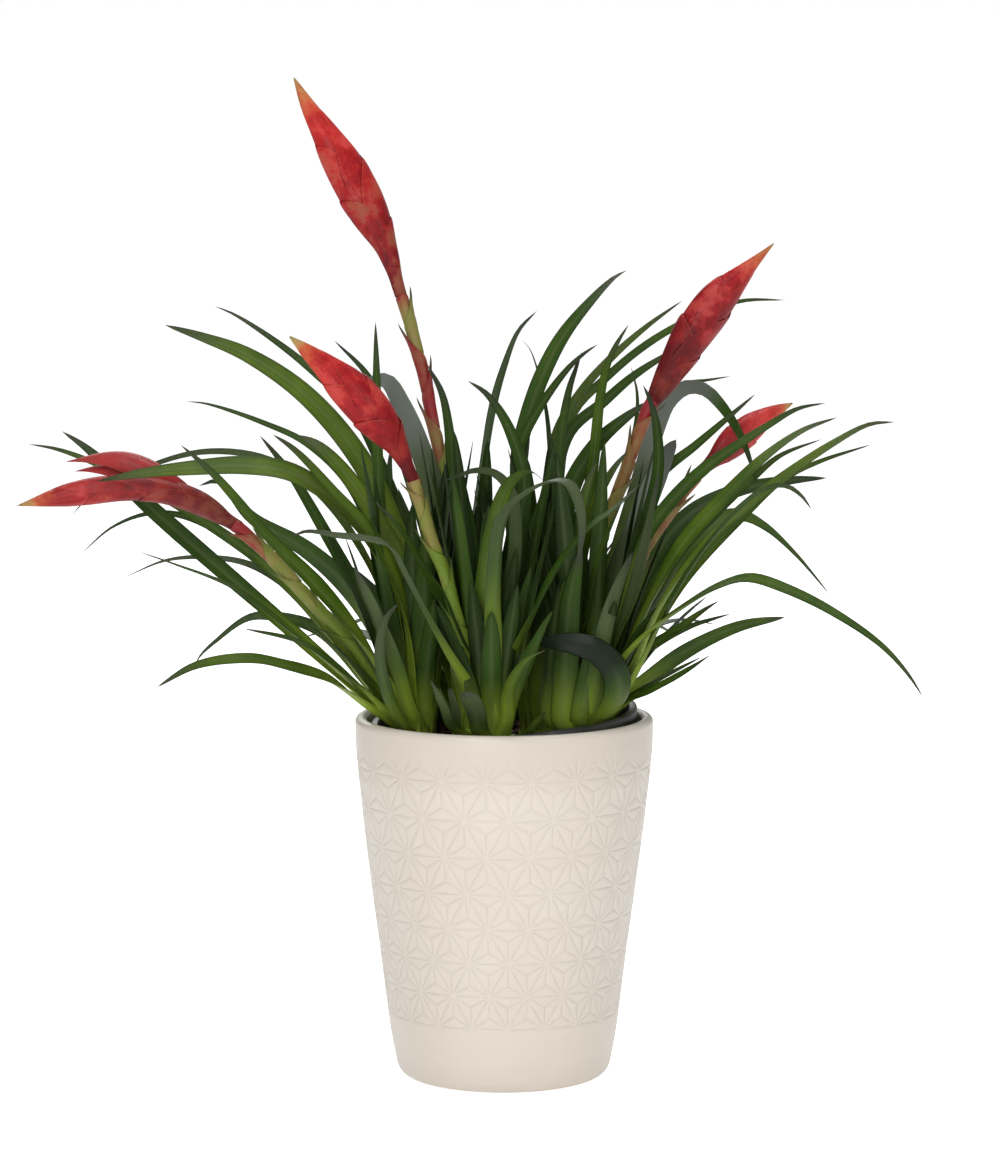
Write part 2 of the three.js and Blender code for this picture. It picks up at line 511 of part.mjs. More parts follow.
// A strap blade: flat above, keeled below, flared at its clasping base and drawn out to a point.
function blade(shoot, width, taper, roll, points) {
  const root = rootOf(shoot, points[0]);
  const curve = smooth([root, ...points]);
  const wanted = Math.round(Math.max(curve.getLength() / BLADE.stepLength, turning(curve) / BLADE.stepTurn));
  const steps = THREE.MathUtils.clamp(wanted, BLADE.fewestSteps, BLADE.mostSteps);
  const out = points[Math.min(2, points.length - 1)].clone().sub(root).setZ(0).normalize();
  const firstSide = new THREE.Vector3(0, 0, 1).cross(out);
  const turn = THREE.MathUtils.degToRad(out.x > 0 ? -roll : roll);
  return spindle(curve, firstSide, steps, 3, (share, angle) => {
    const flare = 1 + BLADE.flare * Math.max(0, 1 - share / BLADE.flareShare);
    const sideways = Math.sign(Math.round(angle)) * (width / 2) * flare * (1 - share ** taper);
    const outwards = sideways === 0 ? BLADE.keelDrop : -BLADE.edgeLift;
    const twist = turn * Math.min(1, share * 2);
    return [
      sideways * Math.cos(twist) - outwards * Math.sin(twist),
      sideways * Math.sin(twist) + outwards * Math.cos(twist),
    ];
  }, turn < 0);
}

function spareBlade(shoot, [direction, lean, length]) {
  const angle = THREE.MathUtils.degToRad(direction);
  const tilt = THREE.MathUtils.degToRad(lean);
  const out = new THREE.Vector3(Math.cos(angle), Math.sin(angle), 0);
  const start = new THREE.Vector3(shoot.at[0], shoot.at[1], ROOT_HEIGHT);
  const points = SPARE.shares.map((share) => {
    const reach = length * Math.sin(tilt) * share ** SPARE.spread;
    const drop = SPARE.droop * Math.sin(tilt) ** 2 * share ** 3;
    const height = length * (Math.cos(tilt) * share - drop);
    return start.clone().addScaledVector(out, ROOT_SPREAD + reach).setZ(ROOT_HEIGHT + height);
  });
  return blade(shoot, SPARE.width, SPARE.taper, 0, points);
}

// The stalk's line, from its well in the core to just short of the head that it carries.
function stalkCurve(shoot) {
  const root = new THREE.Vector3(shoot.at[0], shoot.at[1], WELL_BOTTOM + GAP);
  const rise = new THREE.Vector3(shoot.at[0], shoot.at[1], CORE_TOP);
  const [headStart, headNext] = shoot.head.map(seen);
  const back = headStart.clone().sub(headNext).setLength(2 * GAP);
  return smooth([root, rise, ...shoot.stalk.map(seen), headStart.clone().add(back)]);
}

// A six-sided rod along a curve.
function rod(curve, radius) {
  const section = new THREE.Shape();
  section.absarc(0, 0, radius, 0, Math.PI * 2, false);
  const options = { steps: STALK_STEPS, extrudePath: curve, curveSegments: 3, bevelEnabled: false };
  return toSolid(new THREE.ExtrudeGeometry(section, options));
}

function makeRosette(name, shoot) {
  const parts = [upright(CORE_RADIUS - CORE_TAPER, CORE_RADIUS, CORE_BOTTOM, CORE_TOP, shoot.at)];
  for (const [width, taper, roll, ...points] of shoot.blades) {
    parts.push(blade(shoot, width, taper, roll, points.map(seen)));
  }
  for (const spare of shoot.spare) {
    parts.push(spareBlade(shoot, spare));
  }
  const solid = wasm.Manifold.union(parts).subtract(stalkSolid(shoot, 2 * GAP));
  return makeMesh(`rosette_${name}`, solid, 'leaf');
}

// ---------------------------------------------------------------- stalks and heads
// A pointed bract that clasps an axis: its keel lies `reach` from the axis and its tip stands free.
function bract(curve, from, to, facing, reach, tipReach) {
  const start = curve.getPointAt(from);
  const middle = curve.getPointAt((from + to) / 2).addScaledVector(facing, reach * BRACT.bulge);
  const end = curve.getPointAt(to).addScaledVector(facing, tipReach);
  const line = smooth([start, middle, end]);
  const firstSide = facing.clone().cross(curve.getTangentAt(from)).negate();
  return spindle(line, firstSide, BRACT.steps, 4, (share, angle) => {
    const opening = BRACT.waist + (1 - BRACT.waist) * Math.sin(Math.min(1, share * 2) * Math.PI / 2);
    const size = reach * opening * (1 - share ** BRACT.taper);
    const keel = Math.cos(angle) > 0 ? BRACT.keel : BRACT.mouth;
    return [size * BRACT.halfWidth * Math.sin(angle), size * keel * Math.cos(angle)];
  });
}

// A stalk with its sheaths. With a clearance it is the room that the stalk needs among the blades.
function stalkSolid(shoot, clearance = 0) {
  const curve = stalkCurve(shoot);
  const parts = [rod(curve, STALK_RADIUS + clearance)];
  for (let i = 0; i < SHEATH.count; i += 1) {
    const from = SHEATH.first + SHEATH.pitch * i;
    const facing = new THREE.Vector3(i % 2 ? 1 : -1, 0, 0);
    const reach = STALK_RADIUS * SHEATH.reach + clearance;
    parts.push(bract(curve, from, from + SHEATH.length, facing, reach, STALK_RADIUS * SHEATH.tip));
  }
  return wasm.Manifold.union(parts);
}

function makeStalk(name, shoot) {
  return makeMesh(`stalk_${name}`, stalkSolid(shoot), 'stalk');
}

// Half-width of a head along its length, as a share of its widest.
function headSwell(share) {
  const along = Math.min(1, share * 1.15) ** 0.85;
  return 0.36 + 0.64 * Math.sin(Math.PI * along) ** 0.9 * (1 - 0.2 * share);
}

// The side that a head's first rank of bracts faces.
function rankFacing(curve, rank) {
  const along = curve.getTangentAt(0.4);
  const level = new THREE.Vector3(along.z, 0, -along.x).normalize();
  return level.applyAxisAngle(along, THREE.MathUtils.degToRad(90 - rank));
}

function makeHead(name, shoot) {
  const curve = smooth(shoot.head.map(seen));
  const facing = rankFacing(curve, shoot.rank);
  const side = curve.getTangentAt(0.4).cross(facing);
  const size = shoot.headRadius;
  const parts = [spindle(curve, side, HEAD.coreSteps, HEAD.coreSides, (share, angle) => {
    const radius = size * HEAD.core * headSwell(share) * (1 - share ** 3);
    return [radius * Math.sin(angle), radius * Math.cos(angle)];
  })];
  for (let i = 0; i < HEAD.bracts; i += 1) {
    const from = (HEAD.lastStart * i) / (HEAD.bracts - 1);
    const to = Math.min(HEAD.end, from + HEAD.bractLength);
    const reach = size * headSwell((from + to) / 2) * 1.05;
    const tipReach = to < HEAD.end ? size * headSwell(to) * 0.8 : 0;
    parts.push(bract(curve, from, to, facing.clone().multiplyScalar(i % 2 ? 1 : -1), reach, tipReach));
  }
  for (const [reach, ...points] of shoot.openBracts) {
    parts.push(bract(smooth(points.map(seen)), 0, 1, new THREE.Vector3(0, 0, 1), reach, 0));
  }
  return makeMesh(`spike_${name}`, wasm.Manifold.union(parts), 'bract');
}

// ---------------------------------------------------------------- the whole object
const group = new THREE.Group();
group.add(makePot(), makeGrowerPot(), makeSoil());
for (const [name, shoot] of Object.entries(SHOOTS)) {
  group.add(makeRosette(name, shoot), makeStalk(name, shoot), makeHead(name, shoot));
}

export default group;
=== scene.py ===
"""A flaming sword bromeliad with five flowering shoots, in a nursery pot inside a glazed, carved pot.

The tables and the shape code count in millimetres and the meshes are in metres. +Z is up, the origin is
the middle of the glazed pot's base and the front faces -Y.
"""

import logging
import math
from collections.abc import Sequence
from dataclasses import dataclass
from enum import Enum
from functools import reduce

import bpy
import numpy as np
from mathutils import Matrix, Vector, noise


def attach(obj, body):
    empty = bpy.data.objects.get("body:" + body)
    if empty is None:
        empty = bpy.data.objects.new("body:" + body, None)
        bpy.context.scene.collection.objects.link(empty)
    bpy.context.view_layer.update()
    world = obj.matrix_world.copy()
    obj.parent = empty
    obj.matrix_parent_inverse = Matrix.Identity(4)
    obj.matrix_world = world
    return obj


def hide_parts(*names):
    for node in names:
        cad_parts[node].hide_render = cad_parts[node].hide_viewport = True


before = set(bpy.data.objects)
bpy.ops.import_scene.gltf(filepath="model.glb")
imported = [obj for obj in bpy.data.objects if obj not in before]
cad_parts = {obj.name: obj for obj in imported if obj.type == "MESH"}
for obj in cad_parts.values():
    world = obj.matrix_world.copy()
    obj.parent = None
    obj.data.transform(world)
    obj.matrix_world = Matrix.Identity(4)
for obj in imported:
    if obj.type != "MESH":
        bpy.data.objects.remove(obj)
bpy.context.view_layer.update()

LOG = logging.getLogger("bromeliad")
MM = 0.001
Body = bpy.types.Object
Node = bpy.types.Node
Material = bpy.types.Material
Mesh = bpy.types.Mesh
Array = np.ndarray
Span = tuple[float, float]
Place = tuple[float, float, float]
Colour = tuple[float, float, float]
Values = Sequence[Array | float]


# --- space and curves
# The viewer's eye and aim, the height at the middle of the front sheet, and the lens and its sensor.
EYE = np.array((-1.2, -1600.0, 357.0))
AIM = np.array((-1.2, 0.0, 166.0))
SHEET_MIDDLE = 169.33
LENS = 148.99
SENSOR = 36.0


def unit(vector: Array) -> Array:
    """The same direction at length one."""
    return vector / np.linalg.norm(vector, axis=-1, keepdims=True)


def level(vector: Array) -> Array:
    """The level direction under a direction, at length one."""
    return unit(vector * (1, 1, 0))


def seen(place: Place) -> Array:
    """The point at a place on the front sheet.

    Args:
        place: Millimetres across and up, as someone in front sees them, and the depth behind the axis.

    Returns:
        The point in the part's own frame, in millimetres.
    """
    across, up, depth = place
    forward = AIM - EYE
    sheet_up = unit(np.array((0.0, -forward[2], forward[1])))
    ray = forward + sheet_up * (up - SHEET_MIDDLE)
    ray[0] += across - AIM[0]
    return EYE + ray * ((depth - EYE[1]) / ray[1])


def ease(value: Array, low: float, high: float) -> Array:
    """A smooth step from 0 at low to 1 at high."""
    share = np.clip((value - low) / (high - low), 0.0, 1.0)
    return share * share * (3 - 2 * share)


class Line:
    """A smooth curve through points, walked by its length."""

    SAMPLES = 30

    def __init__(self, points: Sequence[Array]) -> None:
        """Samples the centripetal curve.

        Args:
            points: The points that the curve passes through, in order.
        """
        points = np.asarray(points, float)
        ends = 2 * points[0] - points[1], 2 * points[-1] - points[-2]
        knots = np.vstack((ends[0], points, ends[1]))
        share = np.linspace(0, 1, self.SAMPLES, endpoint=False)[:, None]
        runs = [self._run(knots[k : k + 4], share) for k in range(len(points) - 1)]
        self.fine = np.vstack((*runs, points[-1:]))
        gaps = np.linalg.norm(np.diff(self.fine, axis=0), axis=1)
        self.walked = np.concatenate(((0.0,), np.cumsum(gaps)))
        self.length = float(self.walked[-1])
        self.heading = unit(np.gradient(self.fine, self.walked, axis=0))

    @staticmethod
    def _run(four: Array, share: Array) -> Array:
        """Walks the stretch between the middle two of four knots.

        Args:
            four: The knots, one in each row.
            share: Shares of the stretch, as a column.

        Returns:
            The points at the shares.
        """
        a, b, c = np.sqrt(np.linalg.norm(np.diff(four, axis=0), axis=1))
        p0, p1, p2, p3 = four
        leave = ((p1 - p0) / a - (p2 - p0) / (a + b) + (p2 - p1) / b) * b
        arrive = ((p2 - p1) / b - (p3 - p1) / (b + c) + (p3 - p2) / c) * b
        square = -3 * p1 + 3 * p2 - 2 * leave - arrive
        cube = 2 * p1 - 2 * p2 + leave + arrive
        return p1 + leave * share + square * share**2 + cube * share**3

    def _read(self, values: Array, shares: Array) -> Array:
        """Values at shares of the length."""
        walked = np.clip(shares, 0, 1) * self.length
        return np.stack([np.interp(walked, self.walked, column) for column in values.T], axis=-1)

    def at(self, shares: Array) -> Array:
        """Points at shares of the length."""
        return self._read(self.fine, np.asarray(shares, float))

    def along(self, shares: Array) -> Array:
        """Directions at shares of the length."""
        return unit(self._read(self.heading, np.asarray(shares, float)))

    def frames(self, shares: Array, first_side: Array) -> tuple[Array, ...]:
        """Frames along the curve that don't twist.

        Args:
            shares: Rising shares of the length.
            first_side: The side direction at the start.

        Returns:
            Points, directions along, side directions and outward directions, one row for each share.
        """
        at, along = self.at(shares), self.along(shares)
        side, sides = first_side, []
        for heading in along:
            side = unit(side - heading * np.dot(side, heading))
            sides.append(side)
        sides = np.array(sides)
        return at, along, sides, np.cross(sides, along)


def wrapped(line: Line, facing: Array, shares: Array, row: Array, wrap: Array, radius: Array) -> Array:
    """Wraps a sheath or a bract round a line.

    Args:
        line: The line.
        facing: The side that the wrap's middle faces.
        shares: The stations' shares of the line.
        row: Each vertex's station.
        wrap: Each vertex's angle from the middle.
        radius: Each vertex's distance from the line.

    Returns:
        The vertices' places.
    """
    at, along, side, _ = line.frames(shares, np.cross(line.along(shares[:1])[0], facing))
    outward = np.cross(side, along)
    outward *= np.sign(outward @ facing)[:, None]
    place = at[row] + outward[row] * (radius * np.cos(wrap))[:, None]
    return place + side[row] * (radius * np.sin(wrap))[:, None]


def spin(points: Array, turn: float) -> None:
    """Turns points in their array round the upright axis, anticlockwise from above."""
    cos, sin = math.cos(turn), math.sin(turn)
    points[:, :2] = points[:, :2] @ np.array(((cos, sin), (-sin, cos)))


def swell(points: Array, reach: Array, by: Array) -> None:
    """Moves points in their array, that lie at a reach from the upright axis, away from it."""
    points[:, :2] *= ((reach + by) / np.maximum(reach, 0.01))[:, None]


# --- mesh helpers
def select(*bodies: Body) -> None:
    """Selects bodies and nothing else, and makes the first one active.

    Args:
        *bodies: The bodies, if any.
    """
    bpy.ops.object.select_all(action="DESELECT")
    for body in bodies:
        body.select_set(True)
    bpy.context.view_layer.objects.active = bodies[0] if bodies else None


def link(name: str, mesh: Mesh) -> Body:
    """Puts a mesh into the scene.

    Args:
        name: The name of its object.
        mesh: The mesh.

    Returns:
        The object.
    """
    obj = bpy.data.objects.new(name, mesh)
    bpy.context.scene.collection.objects.link(obj)
    return obj


def whole(parts: Sequence[Body], name: str, finish: Material, angle: float = 180.0) -> Body:
    """Joins parts into one piece at the origin, then finishes and smooths it.

    Args:
        parts: Objects at the origin, unturned and unscaled.
        name: The piece's name.
        finish: Its material.
        angle: Where faces meet at more than this, in degrees, their edge is kept.

    Returns:
        The piece.
    """
    select(*parts)
    if len(parts) > 1:
        bpy.ops.object.join()
    piece = bpy.context.view_layer.objects.active
    piece.name = piece.data.name = name
    piece.data.materials.append(finish)
    if angle < 180:
        bpy.ops.object.shade_smooth_by_angle(angle=math.radians(angle))
    else:
        bpy.ops.object.shade_smooth()
    return piece


def places(mesh: Mesh) -> Array:
    """Reads a mesh's vertices.

    Args:
        mesh: The mesh.

    Returns:
        Their places in millimetres, one in each row.
    """
    flat = np.empty(len(mesh.vertices) * 3)
    mesh.vertices.foreach_get("co", flat)
    return flat.reshape(-1, 3) / MM


def put(mesh: Mesh, points: Array) -> None:
    """Moves a mesh's vertices.

    Args:
        mesh: The mesh.
        points: Their new places in millimetres.

    Raises:
        ValueError: A vertex has no place.
    """
    if not np.isfinite(points).all():
        raise ValueError(f"{mesh.name} has a vertex with no place")
    mesh.vertices.foreach_set("co", (points * MM).ravel())
    mesh.update()


def tag(mesh: Mesh, name: str, values: Values) -> None:
    """Stores up to three values at each vertex, for the materials to read.

    Args:
        mesh: The mesh.
        name: The attribute's name.
        values: Arrays or single numbers.
    """
    count = len(mesh.vertices)
    table = np.ones((count, 4))
    for channel, value in enumerate(values):
        table[:, channel] = value
    layer = mesh.attributes.get(name) or mesh.attributes.new(name, "FLOAT_COLOR", "POINT")
    layer.data.foreach_set("color", table.ravel())


def mend(obj: Body, gap: float = 1e-6) -> None:
    """Closes doubled vertices and turns all faces outwards.

    Args:
        obj: The object to mend.
        gap: How far apart doubled vertices may be, in metres.
    """
    select(obj)
    bpy.ops.object.mode_set(mode="EDIT")
    bpy.ops.mesh.select_all(action="SELECT")
    bpy.ops.mesh.remove_doubles(threshold=gap)
    bpy.ops.mesh.normals_make_consistent(inside=False)
    bpy.ops.object.mode_set(mode="OBJECT")


def turned(name: str, profile: Sequence[Span], steps: int) -> Body:
    """Spins a profile round the upright axis into a closed body.

    Args:
        name: The object's name.
        profile: Radius and height in millimetres, from the underside's middle round to the inside's.
        steps: How many columns the body has.

    Returns:
        The body, with its poles and its seam closed.
    """
    mesh = bpy.data.meshes.new(name)
    rows = [(radius * MM, 0.0, height * MM) for radius, height in profile]
    mesh.from_pydata(rows, [(k, k + 1) for k in range(len(rows) - 1)], [])
    obj = link(name, mesh)
    select(obj)
    bpy.ops.object.mode_set(mode="EDIT")
    bpy.ops.mesh.select_all(action="SELECT")
    bpy.ops.mesh.spin(steps=steps, angle=math.tau, center=(0, 0, 0), axis=(0, 0, 1))
    bpy.ops.object.mode_set(mode="OBJECT")
    mend(obj)
    return obj


def run(start: Span, end: Span, count: int) -> list[Span]:
    """Even places from start up to, but without, end."""
    shares = np.linspace(0, 1, count, endpoint=False)
    return [tuple(np.add(start, np.subtract(end, start) * share)) for share in shares]


class Blank:
    """A tube of unit height whose far end is a point: the blank that leaves and bracts are bent from."""

    def __init__(self, name: str, ring: int, stations: int) -> None:
        """Models the tube.

        Args:
            name: Its name.
            ring: Vertices round it.
            stations: Steps along it.
        """
        select()
        bpy.ops.mesh.primitive_circle_add(vertices=ring, radius=1.0, location=(0, 0, 0))
        obj = bpy.context.object
        bpy.ops.object.mode_set(mode="EDIT")
        bpy.ops.mesh.select_all(action="SELECT")
        bpy.ops.mesh.edge_face_add()
        bpy.ops.mesh.select_mode(type="EDGE")
        bpy.ops.mesh.select_all(action="SELECT")
        for _ in range(stations):
            bpy.ops.mesh.extrude_region_move(TRANSFORM_OT_translate={"value": (0, 0, 1 / stations)})
        bpy.ops.mesh.merge(type="CENTER")
        bpy.ops.mesh.select_all(action="SELECT")
        bpy.ops.mesh.normals_make_consistent(inside=False)
        bpy.ops.object.mode_set(mode="OBJECT")
        obj.name = name
        self.mesh = obj.data
        place = places(self.mesh) * MM
        self.share = place[:, 2]
        self.station = np.rint(self.share * stations).astype(int)
        self.stations = np.linspace(0, 1, stations + 1)
        self.angle = np.arctan2(place[:, 1], place[:, 0])
        self.across = np.where(self.station == stations, 0.0, np.cos(self.angle))
        self.face = np.where(self.station == stations, 0.0, np.sin(self.angle))
        bpy.data.objects.remove(obj)

    def bend(self, name: str, points: Array, leaf: Values, tint: Values) -> Body:
        """Copies the blank and moves its vertices to points.

        Args:
            name: The copy's name.
            points: A place in millimetres for each vertex.
            leaf: The values of the attribute "leaf": across, along, and the leaf's under side or, on a
                bract, the head's painted shade.
            tint: The values of the attribute "tint", which each finish reads in its own way.

        Returns:
            The copy.
        """
        copy = link(name, self.mesh.copy())
        put(copy.data, points)
        tag(copy.data, "leaf", leaf)
        tag(copy.data, "tint", tint)
        return copy


# --- the shoots' table
class Tone(Enum):
    """How light, how grey and how aged a leaf is.

    Each is from 0 to 1 or a little past it. A leaf with a grey of -1 is glossy instead, and one with an age
    of -1 keeps its tip green. The two darkest tones, on the spare leaves and the hearts, paint the shade in
    the middle of the clump.
    """

    PLAIN = (0.42, 0.0, 0.1)
    DEEP = (0.15, 0.0, 0.0)
    GLOSSY = (0.25, -1.0, 0.0)
    FRESH = (0.62, 0.0, 0.1)
    BRIGHT = (0.9, 0.0, 0.1)
    GREY = (0.45, 0.75, 0.0)
    OLIVE = (0.8, 0.1, 0.4)
    # The next two tones paint the shade in the middle of the clump.
    INNER = (0.18, 0.0, -1.0)
    SHADE = (-0.25, 0.0, -1.0)
    SILVER = (0.5, 1.0, 0.0)
    ARCHED = (0.5, 1.0, 1.0)


PLAIN, DEEP, GLOSSY, FRESH, BRIGHT, GREY, OLIVE, INNER, SHADE, SILVER, ARCHED = Tone
Blade = tuple[float, float, float, Tone, Sequence[Place]]
Form = Sequence[Span]

SWORD: Form = (
    (0, 0.33), (0.1, 0.35), (0.16, 0.44), (0.22, 0.54), (0.3, 0.78), (0.38, 0.96), (0.46, 1.03),
    (0.54, 1.01), (0.62, 0.93), (0.7, 0.75), (0.78, 0.56), (0.88, 0.34), (0.95, 0.16), (1, 0.02),
)
BROAD: Form = (
    (0, 0.36), (0.06, 0.52), (0.12, 0.64), (0.2, 0.75), (0.3, 0.87), (0.4, 0.98), (0.5, 1.0), (0.58, 0.95),
    (0.66, 0.82), (0.74, 0.6), (0.82, 0.38), (0.9, 0.2), (0.96, 0.09), (1, 0.02),
)
LANCE: Form = (
    (0, 0.45), (0.06, 0.55), (0.12, 0.74), (0.2, 0.87), (0.3, 0.9), (0.5, 0.93), (0.66, 0.96), (0.76, 0.85),
    (0.84, 0.62), (0.92, 0.32), (0.97, 0.12), (1, 0.02),
)


@dataclass(frozen=True)
class Shoot:
    """One shoot: where it stands, its leaves and its flower.

    A blade is its width, its taper, its roll in degrees, its tone and the places that it passes through
    on the front sheet. A higher taper keeps it wide for longer. A spare blade fills the clump and is a
    direction from above, a lean from upright and a length. The rank turns a head's two rows of bracts
    away from the front. Its form is half its width against its height, both as shares, and the blush is
    how red the stalk is against its height. Husk, painted shade and pale are how dry the lowest bracts are,
    how far painted shade deepens the head's red and how faded it is, from 0 to 1. An open bract is its
    reach and the places along it.
    """

    name: str
    at: Span
    blades: Sequence[Blade]
    spare: Sequence[Place]
    stalk: Sequence[Place]
    head: Sequence[Place]
    head_radius: float
    rank: float
    head_form: Form = SWORD
    blush: Form = ((0, 0.1), (1, 0.7))
    husk: float = 0.2
    # How far the head's red is darkened: painted shade.
    shade: float = 0.1
    pale: float = 0.1
    open_bracts: Sequence[tuple[float, Sequence[Place]]] = ()

    def redness(self, share: Array | float) -> Array:
        """How red the stalk is at shares of its height."""
        return np.interp(share, *zip(*self.blush))


LEFT_BLADES: Sequence[Blade] = (
    (7, 2.4, 47, DEEP, ((-48, 133, -6), (-80, 161.5, 0), (-117, 194, 8), (-139, 214.5, 14),
     (-147.3, 220.3, 16))),
    (5, 1.5, 42, PLAIN, ((-45, 136, 0), (-75, 171.5, 6), (-105, 193.3, 12), (-130, 206.7, 20),
     (-148, 214, 26), (-158.5, 216, 30))),
    (4, 1.4, 42, DEEP, ((-44, 134, 6), (-72, 168, 20), (-100, 189.5, 30), (-116, 193, 34),
     (-130, 188.5, 38), (-141, 179.3, 40))),
    (4.5, 1.5, 32, PLAIN, ((-43, 130, -14), (-70, 153, -28), (-90, 168, -40), (-110, 176, -50),
     (-122, 180.2, -56))),
    (4, 1.5, 37, GREY, ((-46, 145, 6), (-70, 167, 24), (-84, 175.5, 34), (-96, 178, 42),
     (-112, 177.3, 50), (-127, 171.3, 56))),
    (5, 1.6, 57, DEEP, ((-44, 135, 8), (-60, 153, 26), (-75, 158.3, 42), (-85, 158, 52),
     (-95, 151, 60), (-102, 144, 65), (-103.3, 137.5, 67))),
    (4, 1.6, 42, PLAIN, ((-42, 130, -17), (-57, 143, -34), (-68, 150, -46), (-86.8, 154.5, -62))),
    (6, 1.6, 47, FRESH, ((-45, 128.5, -12), (-58, 137.5, -34), (-72, 142, -52), (-85, 144.5, -66),
     (-103, 142, -80), (-115.8, 134.8, -88))),
    (9, 2.2, 52, FRESH, ((-43, 144, -20), (-60, 166, -30), (-80, 186.5, -38), (-97, 206, -42),
     (-107.8, 215.8, -43))),
    (8, 2, 62, OLIVE, ((-36, 165, -6), (-46, 185.5, -10), (-58, 198.5, -16), (-72, 206.8, -22),
     (-87, 208.8, -26), (-103, 208, -29), (-120, 206.3, -31), (-136, 203.5, -32))),
    (3.5, 1.5, 42, GREY, ((-40, 165, 8), (-60, 198, 10), (-78, 210.5, 10), (-98, 213.5, 10),
     (-117, 209, 10), (-139, 197.5, 10), (-144.2, 191.8, 10))),
    (5, 1.8, 47, PLAIN, ((-38, 145, 8), (-48, 166, 16), (-58, 184, 22), (-70, 204.5, 28),
     (-76, 212.5, 31), (-81.3, 218.8, 33))),
    (7, 1.8, 52, PLAIN, ((-40, 150, 12), (-52, 168.5, 30), (-66, 181, 42), (-84, 191.5, 52),
     (-95, 203.5, 58), (-101.7, 202, 60))),
    (8, 2, 47, FRESH, ((-33, 160, -12), (-43, 184.5, -15), (-57, 200.5, -18), (-70, 214.2, -20),
     (-77, 219.2, -21))),
    (8, 3.5, 42, BRIGHT, ((-33, 170, 0), (-41, 188, 2), (-52, 205, 4), (-62, 215.5, 7),
     (-68.5, 219, 10))),
    (5, 2.2, 72, PLAIN, ((-36, 150, 6), (-41, 195, 10), (-42, 220, 13), (-42.3, 240, 15),
     (-42.7, 256.8, 17))),
    (3.5, 1.5, 37, PLAIN, ((-37, 160, 4), (-50, 200, 12), (-65, 215.7, 20), (-80, 223, 28),
     (-99, 229.4, 37), (-106, 230.2, 40))),
    (4.5, 2, -20, GREY, ((-34, 122, -16), (-39, 134, -27), (-41.3, 146, -33), (-39.5, 157, -36),
     (-35.3, 162.8, -38))),
    (8, 2, 15, GREY, ((-33, 128, -14), (-37, 143, -24), (-43, 160, -32), (-50, 175, -38))),
)
TALL_BLADES: Sequence[Blade] = (
    (8, 2, 52, FRESH, ((-17, 140, 24), (-30, 172, 36), (-46, 208, 46), (-65, 231.5, 54),
     (-85, 245.5, 61), (-100, 251.5, 66), (-113, 255.7, 70))),
    (4.5, 1.5, 42, DEEP, ((-18, 150, 30), (-35, 195, 52), (-50, 227, 66), (-62, 239, 74),
     (-75, 249.5, 82), (-90, 259.3, 90), (-96.5, 262, 93))),
    (5, 1.6, 52, DEEP, ((-16, 150, 32), (-25, 185, 54), (-36, 218, 74), (-45, 238.5, 86),
     (-56.5, 250.6, 95))),
    (8, 3, 62, SILVER, ((-15, 150, 21), (-21, 192, 25), (-28, 215, 28), (-34, 229, 30),
     (-39, 237, 32), (-45, 236.5, 35), (-50, 229, 37))),
    (8, 2, 72, DEEP, ((-13, 150, 15), (-14.5, 185, 18), (-16.5, 205, 20), (-18.3, 223, 22),
     (-20.5, 233, 24), (-25.3, 242.4, 26))),
    (8, 2.2, 72, PLAIN, ((-10, 150, 32), (-9.5, 190, 52), (-7, 210, 63), (-4, 228, 72),
     (0, 242, 79), (5, 254, 84), (11.2, 260.5, 87))),
    (5, 2, 62, DEEP, ((-20, 150, 34), (-30, 180, 44), (-37, 196, 50), (-38, 208, 54), (-37, 217, 57))),
)
FRONT_BLADES: Sequence[Blade] = (
    (8.4, 0.9, 10, FRESH, ((-4.5, 140, -24), (-6.5, 160, -29), (-5.5, 175, -34), (-3, 189, -41),
     (-0.5, 198, -48), (3, 204, -57), (9, 206.8, -68), (13.8, 203.5, -76))),
    (7, 1.8, 37, GREY, ((-12, 134, -26), (-19, 147, -36), (-26, 160, -46), (-33, 173, -56),
     (-38, 182, -62), (-44, 184, -66), (-56, 185.5, -71), (-66, 186.8, -75), (-70.8, 185, -77))),
    (6, 1.8, 57, DEEP, ((-1, 150, -16), (5, 185, -12), (6.8, 205, -9), (3.5, 217, -7),
     (-1, 226.5, -5), (-6, 233, -4), (-12, 237.1, -3))),
    (5, 1.8, 72, GREY, ((0, 150, -22), (4, 185, -20), (2.5, 200, -21), (-3, 206.3, -23),
     (-10, 207.2, -25), (-15, 205.4, -27), (-20, 203.8, -29))),
    (7, 1.8, 42, GREY, ((-3, 140, -32), (-3, 170, -48), (0, 192, -60), (8, 200, -68),
     (16, 203.7, -74), (22, 202.5, -79), (25.5, 194, -84), (26, 186, -87), (24.6, 175.5, -90))),
    (5, 2.2, 10, BRIGHT, ((1.3, 124, -30), (1.5, 132, -37), (4, 139, -46), (8, 144.3, -55),
     (14, 147.3, -64))),
    (4.5, 1.8, 0, GREY, ((-17, 121, -29), (-20, 128, -36), (-24.3, 137.3, -42))),
    (5, 5, 0, GREY, ((-15, 121, -24), (-16.5, 128, -28), (-18, 134.7, -31))),
    (7, 8, 0, GREY, ((-8, 120, -30), (-9.5, 127, -36), (-12.5, 133.5, -42))),
    (5, 2.4, 0, FRESH, ((8.5, 119.5, -29), (11, 123, -32), (14, 127, -34))),
    (4, 1.8, 42, DEEP, ((-8, 140, -24), (-14, 152, -29), (-20, 166, -34), (-25.5, 174, -37),
     (-30, 179.5, -39))),
    (6, 1.8, 42, FRESH, ((-9, 138, -20), (-18, 158, -22), (-26, 173, -25), (-34, 187, -29),
     (-43, 197, -33))),
    (8, 2, 42, DEEP, ((2, 140, -26), (9, 158, -34), (18, 175, -41), (28, 187.5, -47),
     (37, 194.5, -51), (46, 203, -54))),
)
